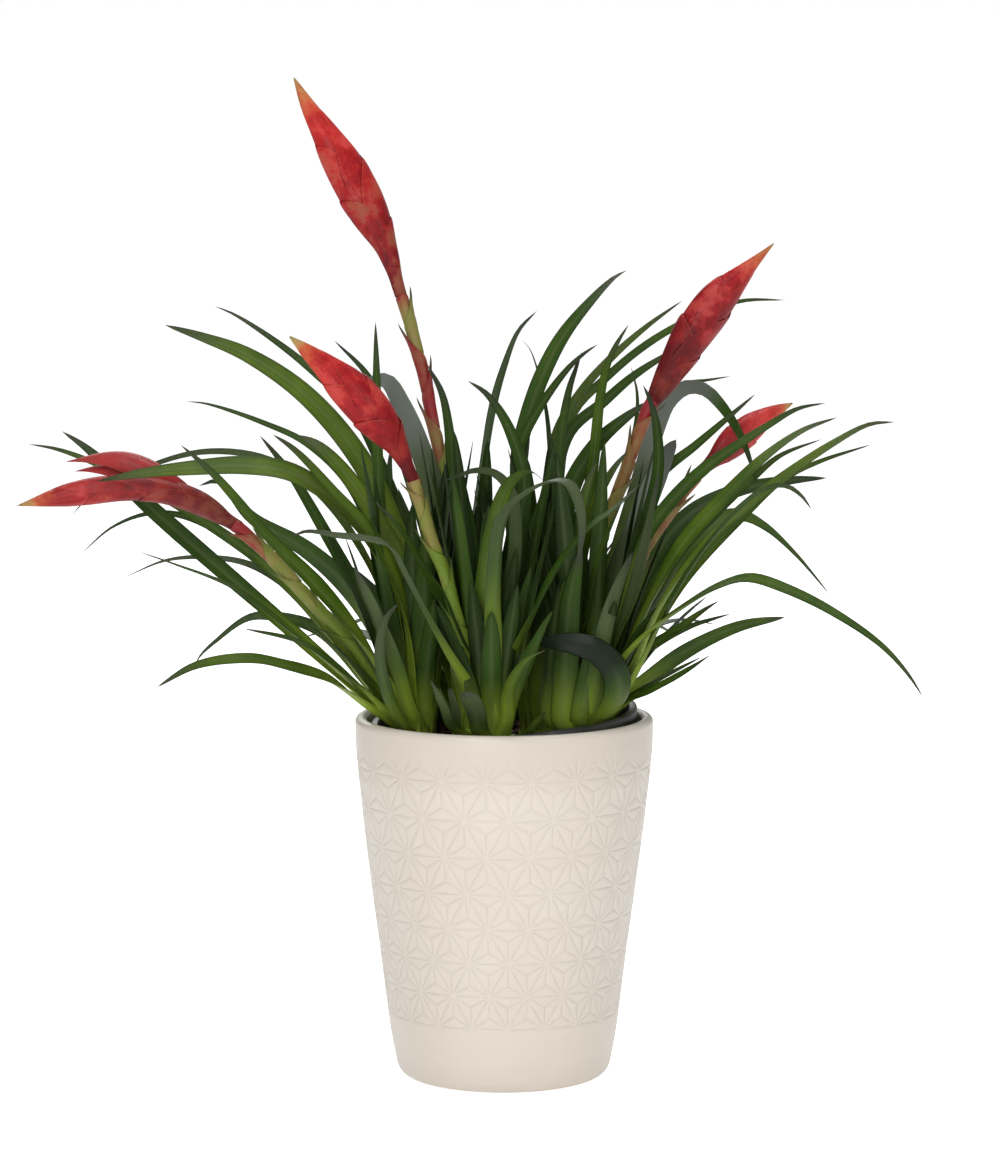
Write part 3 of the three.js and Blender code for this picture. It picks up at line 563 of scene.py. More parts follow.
BACK_BLADES: Sequence[Blade] = (
    (9, 2.6, 57, DEEP, ((10, 150, 26), (6.5, 190, 38), (5.5, 212, 45), (8, 224, 49),
     (13, 238.5, 54), (20, 252, 60), (30, 264.5, 66), (37, 271.5, 70), (41.3, 274, 73))),
    (5, 1.7, 52, DEEP, ((9, 150, 20), (5, 195, 22), (6, 216, 24), (11, 226.5, 26), (20.5, 240, 28),
     (26, 245.5, 29), (31.5, 249.3, 30))),
    (3.5, 1.5, 52, DEEP, ((13, 150, 30), (16, 195, 46), (15.3, 215, 54), (14, 228, 60),
     (11, 241.5, 66), (8.5, 248, 69), (5.5, 251.3, 71))),
    (5, 2, 62, PLAIN, ((14, 150, 20), (17, 185, 24), (18.3, 207, 26), (19.5, 222, 28),
     (22, 235, 30), (24, 241, 31), (26, 246.8, 32))),
    (4.5, 1.7, 47, OLIVE, ((15, 150, 26), (15, 190, 38), (17, 218, 48), (25, 232.5, 56),
     (35, 244, 64), (47, 254.7, 72), (59.7, 263.9, 80))),
    (5, 1.8, 62, PLAIN, ((18, 150, 18), (27, 190, 20), (30.5, 215, 22), (32, 230, 24),
     (34.5, 242, 25), (37.5, 249, 26), (41.8, 256, 27))),
    (4, 1.5, 47, PLAIN, ((16, 150, 34), (18, 200, 56), (23, 226, 70), (34, 238, 80),
     (48, 249.5, 90), (66, 259.5, 100), (80, 263.8, 108), (94, 264, 115))),
    (5, 1.8, 47, PLAIN, ((18, 160, 28), (17, 200, 40), (22, 220, 48), (33, 229.8, 55),
     (43, 238.5, 60), (53, 245, 64), (62, 250, 68))),
    (3, 1.5, 42, PLAIN, ((25, 160, 30), (38, 200, 40), (44, 222, 46), (44.5, 233, 49),
     (42.4, 242, 51))),
    (8, 2, 52, DEEP, ((17, 170, 22), (22, 200, 25), (31, 216, 28), (41, 225, 31), (50, 231, 34))),
    (3.5, 1.5, 42, PLAIN, ((28, 170, 30), (42, 212, 42), (52, 231, 50), (60, 236, 54),
     (68, 237.3, 59), (75.8, 238.6, 64))),
)
RIGHT_BLADES: Sequence[Blade] = (
    (5, 1.7, 47, PLAIN, ((33, 150, 0), (42, 185, 6), (51, 204.5, 9), (64, 215.5, 11),
     (71, 221.5, 12), (78, 227.5, 13), (84, 232.7, 14))),
    (6, 1.8, 52, PLAIN, ((36, 150, -10), (47, 184, -10), (57, 198, -8), (68, 208.5, -5),
     (78, 215.5, -2), (88, 222, 1), (98, 227.7, 4), (107.5, 229.7, 6))),
    (8, 2, 52, FRESH, ((38, 140, -14), (49, 164, -20), (60, 183, -25), (74, 198.5, -28),
     (87, 211.5, -30), (100, 220.6, -31), (111.3, 224.9, -32))),
    (3.5, 1.6, 42, PLAIN, ((40, 150, -4), (56, 180, 0), (72, 198, 4), (84, 209, 7), (93.5, 215.7, 9))),
    (4, 1.6, 42, PLAIN, ((38, 140, 2), (56, 176, 16), (70, 192, 26), (82, 203.5, 33), (92, 212, 38),
     (106, 217.6, 44))),
    (7, 2.2, 52, OLIVE, ((41, 136, -18), (52, 162, -28), (66, 181, -37), (80, 194.5, -44),
     (97, 207.5, -50), (110, 216.2, -54), (122, 222.5, -57), (130.5, 223.3, -59))),
    (4, 1.6, 42, PLAIN, ((40, 135, -2), (60, 170, 8), (80, 192, 18), (93, 204, 24), (105, 210, 29),
     (122.5, 215.8, 36))),
    (7, 1.9, 57, DEEP, ((38, 145, 6), (50, 178, 24), (62, 192.5, 34), (75, 199.5, 42),
     (85, 202.3, 48), (97, 204, 55), (107.8, 204.7, 61))),
    (5, 1.6, 52, PLAIN, ((42, 136, -22), (58, 168, -40), (74, 190, -52), (87, 201, -60),
     (94, 202, -64), (99, 199, -67), (102.8, 194, -69))),
    (6, 1.9, 52, PLAIN, ((40, 140, 10), (56, 172, 30), (68, 188, 42), (78, 192.3, 50),
     (87, 188.5, 57), (97, 179.5, 64), (104, 171.5, 69), (108.8, 165.6, 72))),
    (6, 2.4, 72, GREY, ((33, 140, -14), (38, 152, -18), (43.5, 168, -20), (47.5, 184, -21),
     (49.8, 196, -22), (52, 207, -22))),
    (6, 2.4, 62, PLAIN, ((24, 140, -14), (28, 162, -16), (31.5, 178, -17), (36, 189, -18),
     (40, 198, -18))),
    (8, 2.2, 42, FRESH, ((22, 150, -8), (26, 180, -7), (31, 197, -7), (37, 208, -7),
     (41.5, 213.7, -7))),
    (7, 2.2, 52, PLAIN, ((20, 140, -12), (22, 165, -14), (24, 185, -15), (27, 200, -16),
     (31, 210, -16))),
    (6, 2.2, 32, OLIVE, ((19, 135, -15), (19, 150, -18), (19.8, 165, -20), (21.5, 176, -21))),
    (5, 1.7, 42, PLAIN, ((36, 138, -18), (46, 151.5, -30), (60, 162, -44), (72, 168.8, -54),
     (82, 171.3, -62), (95, 167.3, -70), (110, 159.8, -78), (126, 148.8, -85), (135, 139, -89),
     (140, 131.3, -91))),
    (5, 1.9, 42, FRESH, ((37, 138, -8), (45, 146, -10), (57, 153.5, -13), (66, 160, -15),
     (71.7, 163.7, -16))),
    (4, 1.6, 32, PLAIN, ((37, 136, -2), (48, 147, 4), (62, 155, 11), (70, 157.7, 15),
     (75.8, 159.4, 18))),
    (6, 1.8, 47, FRESH, ((40, 131, 0), (50, 139, 10), (62, 147.5, 22), (78, 155, 34),
     (93.8, 158.3, 46))),
    (4.5, 1.8, 42, PLAIN, ((41, 130, -12), (50, 134.3, -22), (62, 141, -32), (69, 145.7, -38))),
    (3.5, 1.8, 32, PLAIN, ((41, 130.5, -8), (52, 137.5, -10), (66, 145, -12))),
    (9.5, 3.2, 0, GLOSSY, ((31, 123, -19), (36, 128, -26), (38.3, 134.5, -31), (37, 141, -34),
     (31.5, 146.7, -35), (24.5, 149.3, -34), (17.5, 150, -32), (11.5, 149.7, -28))),
    # The next two blades are darker than their own colour: painted shade at the right rosette's foot.
    (8, 2.4, 0, DEEP, ((26, 124, -22), (28.5, 138, -26), (32, 152, -28), (37, 166, -29))),
    (9, 2.4, 10, DEEP, ((20, 122, -19), (20.5, 136, -22), (21, 150, -24), (22.5, 166, -25),
     (26, 182, -25))),
    (8, 2.2, 5, DEEP, ((15, 124, -12), (15.5, 138, -14), (17, 154, -16), (19, 172, -17))),
    (7, 2.2, 10, GREY, ((30, 126, -22), (31, 138, -26), (33, 150, -28), (37, 165, -29),
     (43, 180, -30))),
    (6, 1.8, 62, DEEP, ((36, 155, -6), (46, 185, -5), (51.5, 207, -4), (51, 222, -4),
     (48.7, 231, -4), (46.4, 235.8, -4))),
    (7, 1.8, 57, ARCHED, ((34, 160, 14), (43, 195, 23), (51, 222, 25), (55, 230.5, 24),
     (61, 235, 23), (67, 234.3, 21), (73, 228.5, 19), (79, 219, 16), (83, 208, 13), (84, 203, 12))),
    (8, 7, 72, SILVER, ((34, 160, 2), (45, 190, 4), (50.5, 204, 5), (54, 212, 6), (57.5, 217.5, 8))),
)

SHOOTS = (
    Shoot(
        name="left",
        at=(-29, -2),
        blades=LEFT_BLADES,
        spare=((175, 30, 62), (195, 38, 58), (210, 30, 64), (160, 22, 78), (230, 20, 58),
            (140, 14, 86), (185, 16, 70), (325, 10, 62), (350, 7, 76), (290, 16, 50)),
        stalk=((-38, 132, -6), (-51, 150, -8), (-62, 161, -9), (-72, 172.5, -10), (-80, 180.5, -11),
            (-87, 187, -12)),
        head=((-92, 190.5, -12.5), (-102, 196.5, -13), (-114, 200.5, -14), (-128, 201.3, -15),
            (-145, 199, -16), (-162.3, 195.4, -17)),
        blush=((0, 0.0), (0.5, 0.15), (0.8, 0.35), (0.92, 0.8), (1, 1.2)),
        husk=0.45,
        shade=0.45,
        head_radius=4.5,
        head_form=LANCE,
        rank=80,
        open_bracts=(
            (4.2, ((-106, 200, -12), (-126, 209, -8), (-146.2, 210, -5))),
            (3.4, ((-112, 201, -10), (-128, 206, -6), (-143, 206.8, -3))),
        ),
        pale=0.35,
    ),
    Shoot(
        name="tall",
        at=(-10, 17),
        blades=TALL_BLADES,
        spare=((110, 12, 92), (140, 20, 86), (75, 8, 96), (125, 30, 84), (95, 22, 88),
            (100, 62, 118), (113, 66, 132), (126, 64, 110), (150, 38, 80)),
        stalk=((-9, 150, 22), (-14, 185, 27), (-20.5, 208, 31), (-23, 221, 33), (-26.5, 238, 36),
            (-30, 252, 38), (-33, 262, 40)),
        head=((-35, 268, 41), (-39, 281, 43), (-44.7, 293, 45), (-51, 304.8, 47),
            (-57.8, 316.6, 49), (-64.8, 328.1, 51), (-70, 338.3, 53)),
        blush=((0, 0.1), (0.3, 0.15), (0.42, 0.45), (0.5, 0.2), (0.62, 0.3), (0.7, 0.85),
            (0.84, 0.8), (0.88, 0.35), (0.95, 0.5), (1, 1.1)),
        husk=0.8,
        shade=0.0,
        head_radius=7.4,
        rank=65,
    ),
    Shoot(
        name="front",
        at=(-4, -19),
        blades=FRONT_BLADES,
        spare=((250, 15, 58), (270, 25, 54), (290, 20, 60), (310, 28, 56), (230, 25, 56),
            (262, 8, 78), (205, 14, 48)),
        stalk=((-8, 135, -23), (-12, 148, -25), (-16, 160, -27), (-20.5, 175, -29), (-24, 184, -31),
            (-27.5, 195, -33), (-29, 200, -34)),
        head=((-31, 206, -35), (-36, 216, -37), (-43, 225.5, -39), (-50, 233, -41),
            (-58, 240.5, -43), (-65, 246.5, -45), (-71.5, 252, -47)),
        blush=((0, 0.0), (0.6, 0.1), (0.9, 0.4), (1, 0.5)),
        head_radius=7.4,
        rank=60,
    ),
    Shoot(
        name="back",
        at=(12, 16),
        blades=BACK_BLADES,
        spare=((80, 10, 96), (50, 16, 92), (20, 12, 82), (100, 20, 88), (65, 28, 85), (35, 25, 78),
            (52, 62, 112), (66, 66, 128), (80, 60, 106), (92, 66, 120)),
        stalk=((21, 150, 16), (30, 176, 14), (37, 197, 12), (41.5, 209, 11), (45.3, 220, 10),
            (48, 227.5, 9)),
        head=((51.3, 232.7, 9), (56.7, 241.9, 8), (61.8, 250.6, 7), (67.8, 259.5, 6),
            (73.9, 267, 5), (81.4, 274.5, 4), (90.2, 283, 3)),
        head_form=BROAD,
        blush=((0, 0.1), (0.55, 0.2), (0.78, 0.55), (0.92, 0.75), (1, 1.1)),
        shade=0.35,
        head_radius=7.4,
        rank=65,
    ),
    Shoot(
        name="right",
        at=(27, -5),
        blades=RIGHT_BLADES,
        spare=((-20, 25, 68), (-45, 30, 58), (0, 18, 76), (20, 25, 74), (-70, 25, 56), (40, 20, 82),
            (5, 35, 64)),
        stalk=((34, 150, 3), (43, 173, 10), (51, 187, 16), (58.5, 198, 20), (62.5, 203, 22)),
        head=((66, 207, 23), (73, 213.5, 26), (80, 219.5, 30), (88, 225.3, 34), (96.5, 229.7, 38)),
        head_radius=5.4,
        rank=70,
        pale=0.35,
    ),
)


# --- carved pattern
@dataclass(frozen=True)
class HempLeaf:
    """The traditional hemp-leaf pattern of linked stars, laid round a cone.

    The stars stand in rows, a star's width apart and half a star aside from the next row's. Rows grow
    upwards as the pot widens. Widths are shares of a star's width, and edges are in rows. The shifts are
    those of the even and the odd rows, and the ray is the angle between two lines of a star.
    """

    stars: int = 20
    first_star: float = 2.0
    first_row: float = 22.8
    row_height: float = 11.05
    growth: float = 1.026
    rise: float = math.sqrt(3) / 2
    shifts: Span = (0.0, 0.5)
    ray: float = math.radians(30)
    hub: Span = (0.03, 0.13)
    bottom_edge: Span = (-0.14, -0.02)
    top_edge: Span = (7.1, 7.75)
    line: float = 0.026
    least_climb: float = 0.1

    def row(self, height: Array) -> Array:
        """The row at heights in millimetres."""
        climb = 1 + (height - self.first_row) * (self.growth - 1) / self.row_height
        return np.log(np.maximum(climb, self.least_climb)) / math.log(self.growth)

    def height(self, row: Array) -> Array:
        """Heights in millimetres at rows."""
        return self.first_row + self.row_height * (self.growth**row - 1) / (self.growth - 1)


# --- materials
Socket = bpy.types.NodeSocket
Value = Socket | float | Colour
Feeds = dict[int | str, Value]
Look = tuple[Socket, Socket, Socket]


class Nodes:
    """Builds the node tree of one material or one effect."""

    def __init__(self, tree: bpy.types.NodeTree) -> None:
        """Starts on an empty tree."""
        self.tree = tree
        tree.nodes.clear()

    def feed(self, socket: Socket, value: Value) -> None:
        """Links a socket, or sets its number or colour.

        Args:
            socket: The input to feed.
            value: Another node's output, a number or a colour.
        """
        if isinstance(value, bpy.types.NodeSocket):
            self.tree.links.new(value, socket)
        elif isinstance(value, tuple) and socket.type == "RGBA":
            socket.default_value = (*value, 1.0)
        else:
            socket.default_value = value

    def node(self, kind: str, feeds: Feeds | None = None, **settings: object) -> Node:
        """Adds a node.

        Args:
            kind: Its type.
            feeds: What goes into its inputs, by their names or numbers.
            **settings: Its own settings.

        Returns:
            The node.
        """
        node = self.tree.nodes.new(kind)
        for key, value in settings.items():
            setattr(node, key, value)
        for key, value in (feeds or {}).items():
            self.feed(node.inputs[key], value)
        return node

    def math(self, kind: str, *values: Value) -> Socket:
        """One sum on up to three values."""
        return self.node("ShaderNodeMath", dict(enumerate(values)), operation=kind).outputs[0]

    def times(self, *values: Value) -> Socket:
        """The product of values."""
        return reduce(lambda product, value: self.math("MULTIPLY", product, value), values)

    def weigh(self, *pairs: tuple[Value, Value], base: Value = 0.0) -> Socket:
        """A base with weighted values added to it, each given with its weight."""
        return reduce(lambda total, pair: self.math("MULTIPLY_ADD", *pair, total), pairs, base)

    def past_whole(self, value: Socket) -> Socket:
        """How far a value is past the whole number nearest to it."""
        return self.math("SUBTRACT", value, self.math("ROUND", value))

    def from_middle(self, across: Socket) -> Socket:
        """How far a place across a leaf is from its middle, from 0 there to 1 at an edge."""
        return self.math("ABSOLUTE", self.weigh((across, 2.0), base=-1.0))

    def span(self, value: Value, low: float, high: float, to: Span = (0, 1)) -> Socket:
        """A smooth step of value between low and high."""
        feeds = dict(zip(("Value", "From Min", "From Max", "To Min", "To Max"), (value, low, high, *to)))
        return self.node("ShaderNodeMapRange", feeds, interpolation_type="SMOOTHSTEP").outputs["Result"]

    def blend(self, share: Value, first: Value, second: Value) -> Socket:
        """Two colours mixed by a share."""
        return self.node("ShaderNodeMix", {0: share, 6: first, 7: second}, data_type="RGBA").outputs[2]

    def ramp(self, value: Value, stops: Sequence[tuple[float, Colour]]) -> Socket:
        """Reads a run of colours.

        Args:
            value: Where it is read, from 0 to 1.
            stops: Where each colour lies.

        Returns:
            The colour at the value.
        """
        node = self.node("ShaderNodeValToRGB", {0: value})
        items = node.color_ramp.elements
        while len(items) < len(stops):
            items.new(0.5)
        for item, (where, colour) in zip(items, stops):
            item.position, item.color = where, (*colour, 1)
        return node.outputs[0]

    def coordinates(self) -> Socket:
        """The object's own coordinates, in metres."""
        return self.node("ShaderNodeTexCoord").outputs["Object"]

    def parts(self, vector: Socket) -> tuple[Socket, ...]:
        """A vector's three numbers."""
        return tuple(self.node("ShaderNodeSeparateXYZ", {0: vector}).outputs)

    def vector(self, x: Value, y: Value, z: Value) -> Socket:
        """Three numbers as a vector."""
        return self.node("ShaderNodeCombineXYZ", {0: x, 1: y, 2: z}).outputs[0]

    def noise(self, vector: Socket, scale: Value, detail: float = 3, rough: float = 0.55) -> Socket:
        """Cloudy noise from 0 to 1."""
        feeds = {"Vector": vector, "Scale": scale, "Detail": detail, "Roughness": rough}
        return self.node("ShaderNodeTexNoise", feeds).outputs["Fac"]

    def cells(self, vector: Socket, scale: float) -> Socket:
        """Distance from the middles of a pattern of cells."""
        return self.node("ShaderNodeTexVoronoi", {"Vector": vector, "Scale": scale}).outputs["Distance"]

    def attribute(self, name: str) -> tuple[Socket, ...]:
        """The three values that a mesh stores under a name."""
        colour = self.node("ShaderNodeAttribute", attribute_name=name).outputs["Color"]
        return tuple(self.node("ShaderNodeSeparateColor", {0: colour}).outputs[:3])

    def bump(self, height: Socket, depth: float, *normal: Socket) -> Socket:
        """A normal, laid over the one given, that a height bends by a depth in millimetres."""
        feeds = {"Height": height, "Distance": depth * MM} | {"Normal": under for under in normal}
        return self.node("ShaderNodeBump", feeds).outputs[0]

    def effect(self, name: str, **values: Value) -> tuple[Socket, ...]:
        """What the shared effect of that name puts out for these values."""
        return tuple(self.node("ShaderNodeGroup", values, node_tree=bpy.data.node_groups[name]).outputs)


def effect_tree(name: str, inputs: dict[str, float], outputs: Sequence[str]) -> tuple[Nodes, Node, Node]:
    """A new shared effect.

    Args:
        name: Its name.
        inputs: Its input values and their defaults.
        outputs: The names of the values that it puts out.

    Returns:
        The tree's builder, its input node and its output node.
    """
    tree = bpy.data.node_groups.new(name, "ShaderNodeTree")
    for key, value in inputs.items():
        tree.interface.new_socket(key, in_out="INPUT", socket_type="NodeSocketFloat").default_value = value
    for key in outputs:
        tree.interface.new_socket(key, in_out="OUTPUT", socket_type="NodeSocketFloat")
    nodes = Nodes(tree)
    return nodes, nodes.node("NodeGroupInput"), nodes.node("NodeGroupOutput")


class Effects:
    """The effects that several finishes share, each built once."""

    PATCH_EDGES: Span = (0.3, 0.7)
    RIB_DRIFT = 1.6
    DRIFT_SCALE = 2.0
    STREAK_SCALE = 0.45

    def build(self) -> None:
        """Builds them all."""
        self._mottle()
        self._fibre()
        self._hemp_leaf(HempLeaf())

    def _mottle(self) -> None:
        """Cloudy patches over fine grain, both from 0 to 1."""
        nodes, start, end = effect_tree("mottle", {"Scale": 60.0, "Grain": 900.0}, ("Patch", "Grain"))
        scale, grain = start.outputs[:2]
        where = nodes.coordinates()
        patch = nodes.noise(where, scale, detail=4, rough=0.6)
        nodes.feed(end.inputs["Patch"], nodes.span(patch, *self.PATCH_EDGES))
        nodes.feed(end.inputs["Grain"], nodes.noise(where, grain, detail=2, rough=0.5))

    def _fibre(self) -> None:
        """Fine ribs that drift a little along a leaf or a bract, and broader streaks, all from 0 to 1."""
        defaults = {"Across": 0.0, "Along": 0.0, "Count": 24.0, "Stretch": 5.0}
        nodes, start, end = effect_tree("fibre", defaults, ("Rib", "Streak"))
        across, along, count, stretch = start.outputs[:4]
        run_along = nodes.times(along, stretch)
        drift = nodes.noise(nodes.vector(across, run_along, 0.0), self.DRIFT_SCALE, detail=2)
        place = nodes.weigh((across, count), base=nodes.times(drift, self.RIB_DRIFT))
        rib = nodes.math("PINGPONG", place, 0.5)
        nodes.feed(end.inputs["Rib"], nodes.span(rib, 0.0, 0.5))
        lanes = nodes.vector(nodes.times(across, count), run_along, 0.0)
        streak = nodes.noise(lanes, self.STREAK_SCALE, detail=3, rough=0.6)
        nodes.feed(end.inputs["Streak"], nodes.span(streak, *self.PATCH_EDGES))

    @staticmethod
    def _hemp_leaf(pattern: HempLeaf) -> None:
        """The fine lines of the carved pattern, from 0 to 1.

        Args:
            pattern: The pattern.
        """
        nodes, start, end = effect_tree("hemp_leaf", {"Line": pattern.line}, ("Cut",))
        x, y, z = nodes.parts(nodes.coordinates())
        angle = nodes.math("ARCTAN2", x, nodes.times(y, -1.0))
        scale = pattern.stars / math.tau
        across = nodes.weigh((angle, scale), base=-math.radians(pattern.first_star) * scale)
        slope = (pattern.growth - 1) / pattern.row_height
        climb = nodes.weigh((z, slope / MM), base=1 - pattern.first_row * slope)
        row = nodes.math("LOGARITHM", nodes.math("MAXIMUM", climb, pattern.least_climb), pattern.growth)
        stars = []
        for shift in pattern.shifts:
            u = nodes.past_whole(nodes.math("SUBTRACT", across, shift))
            v = nodes.times(nodes.past_whole(nodes.weigh((row, 0.5), base=-shift)), 2 * pattern.rise)
            square = nodes.math("ADD", nodes.math("POWER", u, 2), nodes.math("POWER", v, 2))
            stars.append((nodes.math("POWER", square, 0.5), nodes.math("ARCTAN2", v, u)))
        (near, first), (far, second) = stars
        reach = nodes.math("MINIMUM", near, far)
        swap = nodes.math("GREATER_THAN", near, far)
        turn = nodes.weigh((swap, nodes.math("SUBTRACT", second, first)), base=first)
        away = nodes.times(nodes.past_whole(nodes.math("DIVIDE", turn, pattern.ray)), pattern.ray)
        off = nodes.times(reach, nodes.math("ABSOLUTE", nodes.math("SINE", away)))
        line = nodes.span(nodes.math("DIVIDE", off, start.outputs["Line"]), 1.0, 0.0)
        upper, lower = pattern.top_edge[::-1], pattern.bottom_edge
        edges = nodes.times(nodes.span(row, *lower), nodes.span(row, *upper))
        nodes.feed(end.inputs["Cut"], nodes.times(line, nodes.span(reach, *pattern.hub), edges))


@dataclass(frozen=True)
class Finish:
    """A finish: its name, its record slot and the constants of its surface.

    The ribs are counted across the piece and the rib stretch is how fast they change along it. Patches and
    grains are the scales of the clouding and of the fine grain. The spread is how far the roughness varies,
    and depths are the millimetres by which ribs, patches and grain bend the surface's normal.
    """

    name: str
    slot: str
    roughness: float
    specular: float = 0.5
    coat: float = 0.0
    coat_roughness: float = 0.2
    ribs: float = 20.0
    rib_stretch: float = 2.5
    patches: float = 60.0
    grains: float = 900.0
    spread: float = 0.1
    rib_depth: float = 0.05
    patch_depth: float = 0.1
    grain_depth: float = 0.02

    def build(self) -> Material:
        """Makes the material, after the shared effects.

        Returns:
            The material, with its colour, roughness and normal from nodes.
        """
        material = bpy.data.materials.new(self.name)
        material.use_nodes = True
        nodes = Nodes(material.node_tree)
        colour, roughness, normal = self.surface(nodes)
        feeds = {
            "Base Color": colour,
            "Roughness": roughness,
            "Normal": normal,
            "Specular IOR Level": self.specular,
            "Coat Weight": self.coat,
            "Coat Roughness": self.coat_roughness,
        }
        shader = nodes.node("ShaderNodeBsdfPrincipled", feeds)
        nodes.node("ShaderNodeOutputMaterial", {"Surface": shader.outputs[0]})
        return material

    def surface(self, nodes: Nodes) -> Look:
        """The finish's colour, roughness and normal."""
        raise NotImplementedError

    def vary(self, nodes: Nodes, value: Socket) -> Socket:
        """The roughness, moved up and down by a value from 0 to 1."""
        return nodes.weigh((value, self.spread), base=self.roughness - self.spread / 2)

    def mottling(self, nodes: Nodes) -> tuple[Socket, ...]:
        """The finish's own patches and grain."""
        return nodes.effect("mottle", Scale=self.patches, Grain=self.grains)

    def fibres(self, nodes: Nodes, across: Socket, along: Socket) -> tuple[Socket, ...]:
        """The finish's own ribs and streaks, along a leaf or a bract."""
        return nodes.effect("fibre", Across=across, Along=along, Count=self.ribs, Stretch=self.rib_stretch)


@dataclass(frozen=True)
class LeafGreen(Finish):
    """Strap leaves: dark green with fine ribs, yellower at the base with painted light on it, grey scurf
    underneath.

    The light mix is how much the leaf's tone, its streaks, its patches and its ribs lighten it. Places are
    shares of the leaf's length, or of its half width for the pale midrib band and the margin, and a
    strength is how far the colour goes there. The midrib band is partly the paler midrib and partly a
    painted sheen.
    Full, greener and glossy are read from the leaf's tone.
    """

    deep: Colour = (0.009, 0.024, 0.003)
    middle: Colour = (0.034, 0.084, 0.004)
    light: Colour = (0.145, 0.215, 0.016)
    # Yellow-green of the leaf base, brightened past its own colour with painted light.
    base: Colour = (0.430, 0.580, 0.050)
    scurf: Colour = (0.085, 0.105, 0.056)
    silver: Colour = (0.160, 0.182, 0.152)
    dry: Colour = (0.062, 0.062, 0.052)
    # Colour of the midrib band: the paler midrib and a painted sheen.
    rib: Colour = (0.155, 0.195, 0.080)
    sheen_dark: Colour = (0.010, 0.017, 0.009)
    ribs: float = 26.0
    rib_stretch: float = 4.0
    patches: float = 55.0
    grains: float = 1600.0
    spread: float = 0.14
    light_mix: Sequence[float] = (0.62, 0.22, 0.2, 0.06)
    foot: Span = (0.5, 0.06)
    foot_strength: Span = (0.62, 0.3)
    pale_midrib_and_sheen: Span = (0.45, 0.0)
    pale_midrib_and_sheen_strength: float = 0.24
    margin: Span = (0.5, 1.0)
    margin_strength: float = 0.4
    scurf_strength: Span = (0.02, 0.2)
    dust: Span = (0.3, 0.75)
    dust_strength: Span = (0.15, 0.9)
    silver_start: Span = (0.64, 0.76)
    limb: Span = (0.76, 0.84)
    limb_lead: float = 0.14
    tip: Span = (0.84, 1.0)
    tip_strength: float = 0.68
    most_wear: float = 0.6
    wear: Span = (0.35, 0.8)
    wear_strength: float = 0.5
    full: Span = (0.9, 1.0)
    greener: Span = (-0.5, 0.0)
    glossy: Span = (0.0, -1.0)
    shine: Span = (0.42, 0.62)
    shine_depth: float = -0.2
    under_rough: float = 0.14
    patch_depth: float = 0.12

    def surface(self, nodes: Nodes) -> Look:
        """Colours a leaf.

        Args:
            nodes: The material's nodes.

        Returns:
            Its colour, roughness and normal.
        """
        across, along, under = nodes.attribute("leaf")
        bright, grey, age = nodes.attribute("tint")
        rib, streak = self.fibres(nodes, across, along)
        patch, grain = self.mottling(nodes)
        level = nodes.weigh(*zip((bright, streak, patch, rib), self.light_mix))
        green = nodes.ramp(level, ((0.0, self.deep), (0.5, self.middle), (1.0, self.light)))
        # The yellow-green base is the leaf's own colour, made brighter than it is: painted light on bases
        # that sit in shade.
        least, more = self.foot_strength
        foot = nodes.times(nodes.span(along, *self.foot), nodes.weigh((bright, more), base=least))
        green = nodes.blend(foot, green, self.base)
        centre = nodes.from_middle(across)
        # Pale band along the midrib: partly the leaf's paler midrib, partly painted sheen.
        green = nodes.blend(nodes.span(centre, *self.pale_midrib_and_sheen, (0, self.pale_midrib_and_sheen_strength)), green, self.rib)
        green = nodes.blend(nodes.span(centre, *self.margin, (0, self.margin_strength)), green, self.deep)
        least, more = self.scurf_strength
        scurf = nodes.times(nodes.weigh((grain, more), base=least), under)
        dusty = nodes.times(grey, nodes.span(along, *self.dust, self.dust_strength))
        green = nodes.blend(nodes.math("MAXIMUM", scurf, dusty), green, self.scurf)
        arched = nodes.span(age, *self.full)
        start = nodes.span(nodes.weigh((arched, self.limb_lead), base=along), *self.silver_start)
        green = nodes.blend(nodes.times(nodes.span(grey, *self.full), start), green, self.silver)
        green = nodes.blend(nodes.times(nodes.span(along, *self.limb), arched), green, self.middle)
        tip = nodes.span(along, *self.tip, (0, self.tip_strength))
        tip = nodes.times(nodes.span(age, *self.greener), tip)
        worn = nodes.times(patch, nodes.math("MINIMUM", age, self.most_wear))
        worn = nodes.span(worn, *self.wear, (0, self.wear_strength))
        green = nodes.blend(nodes.math("MAXIMUM", tip, worn), green, self.dry)
        gloss = nodes.times(nodes.span(grey, *self.glossy), nodes.span(along, *self.shine))
        green = nodes.blend(gloss, green, self.sheen_dark)
        normal = nodes.bump(patch, self.patch_depth, nodes.bump(rib, self.rib_depth))
        rough = self.vary(nodes, streak)
        rough = nodes.weigh((under, self.under_rough), (gloss, self.shine_depth), base=rough)
        return green, rough, normal


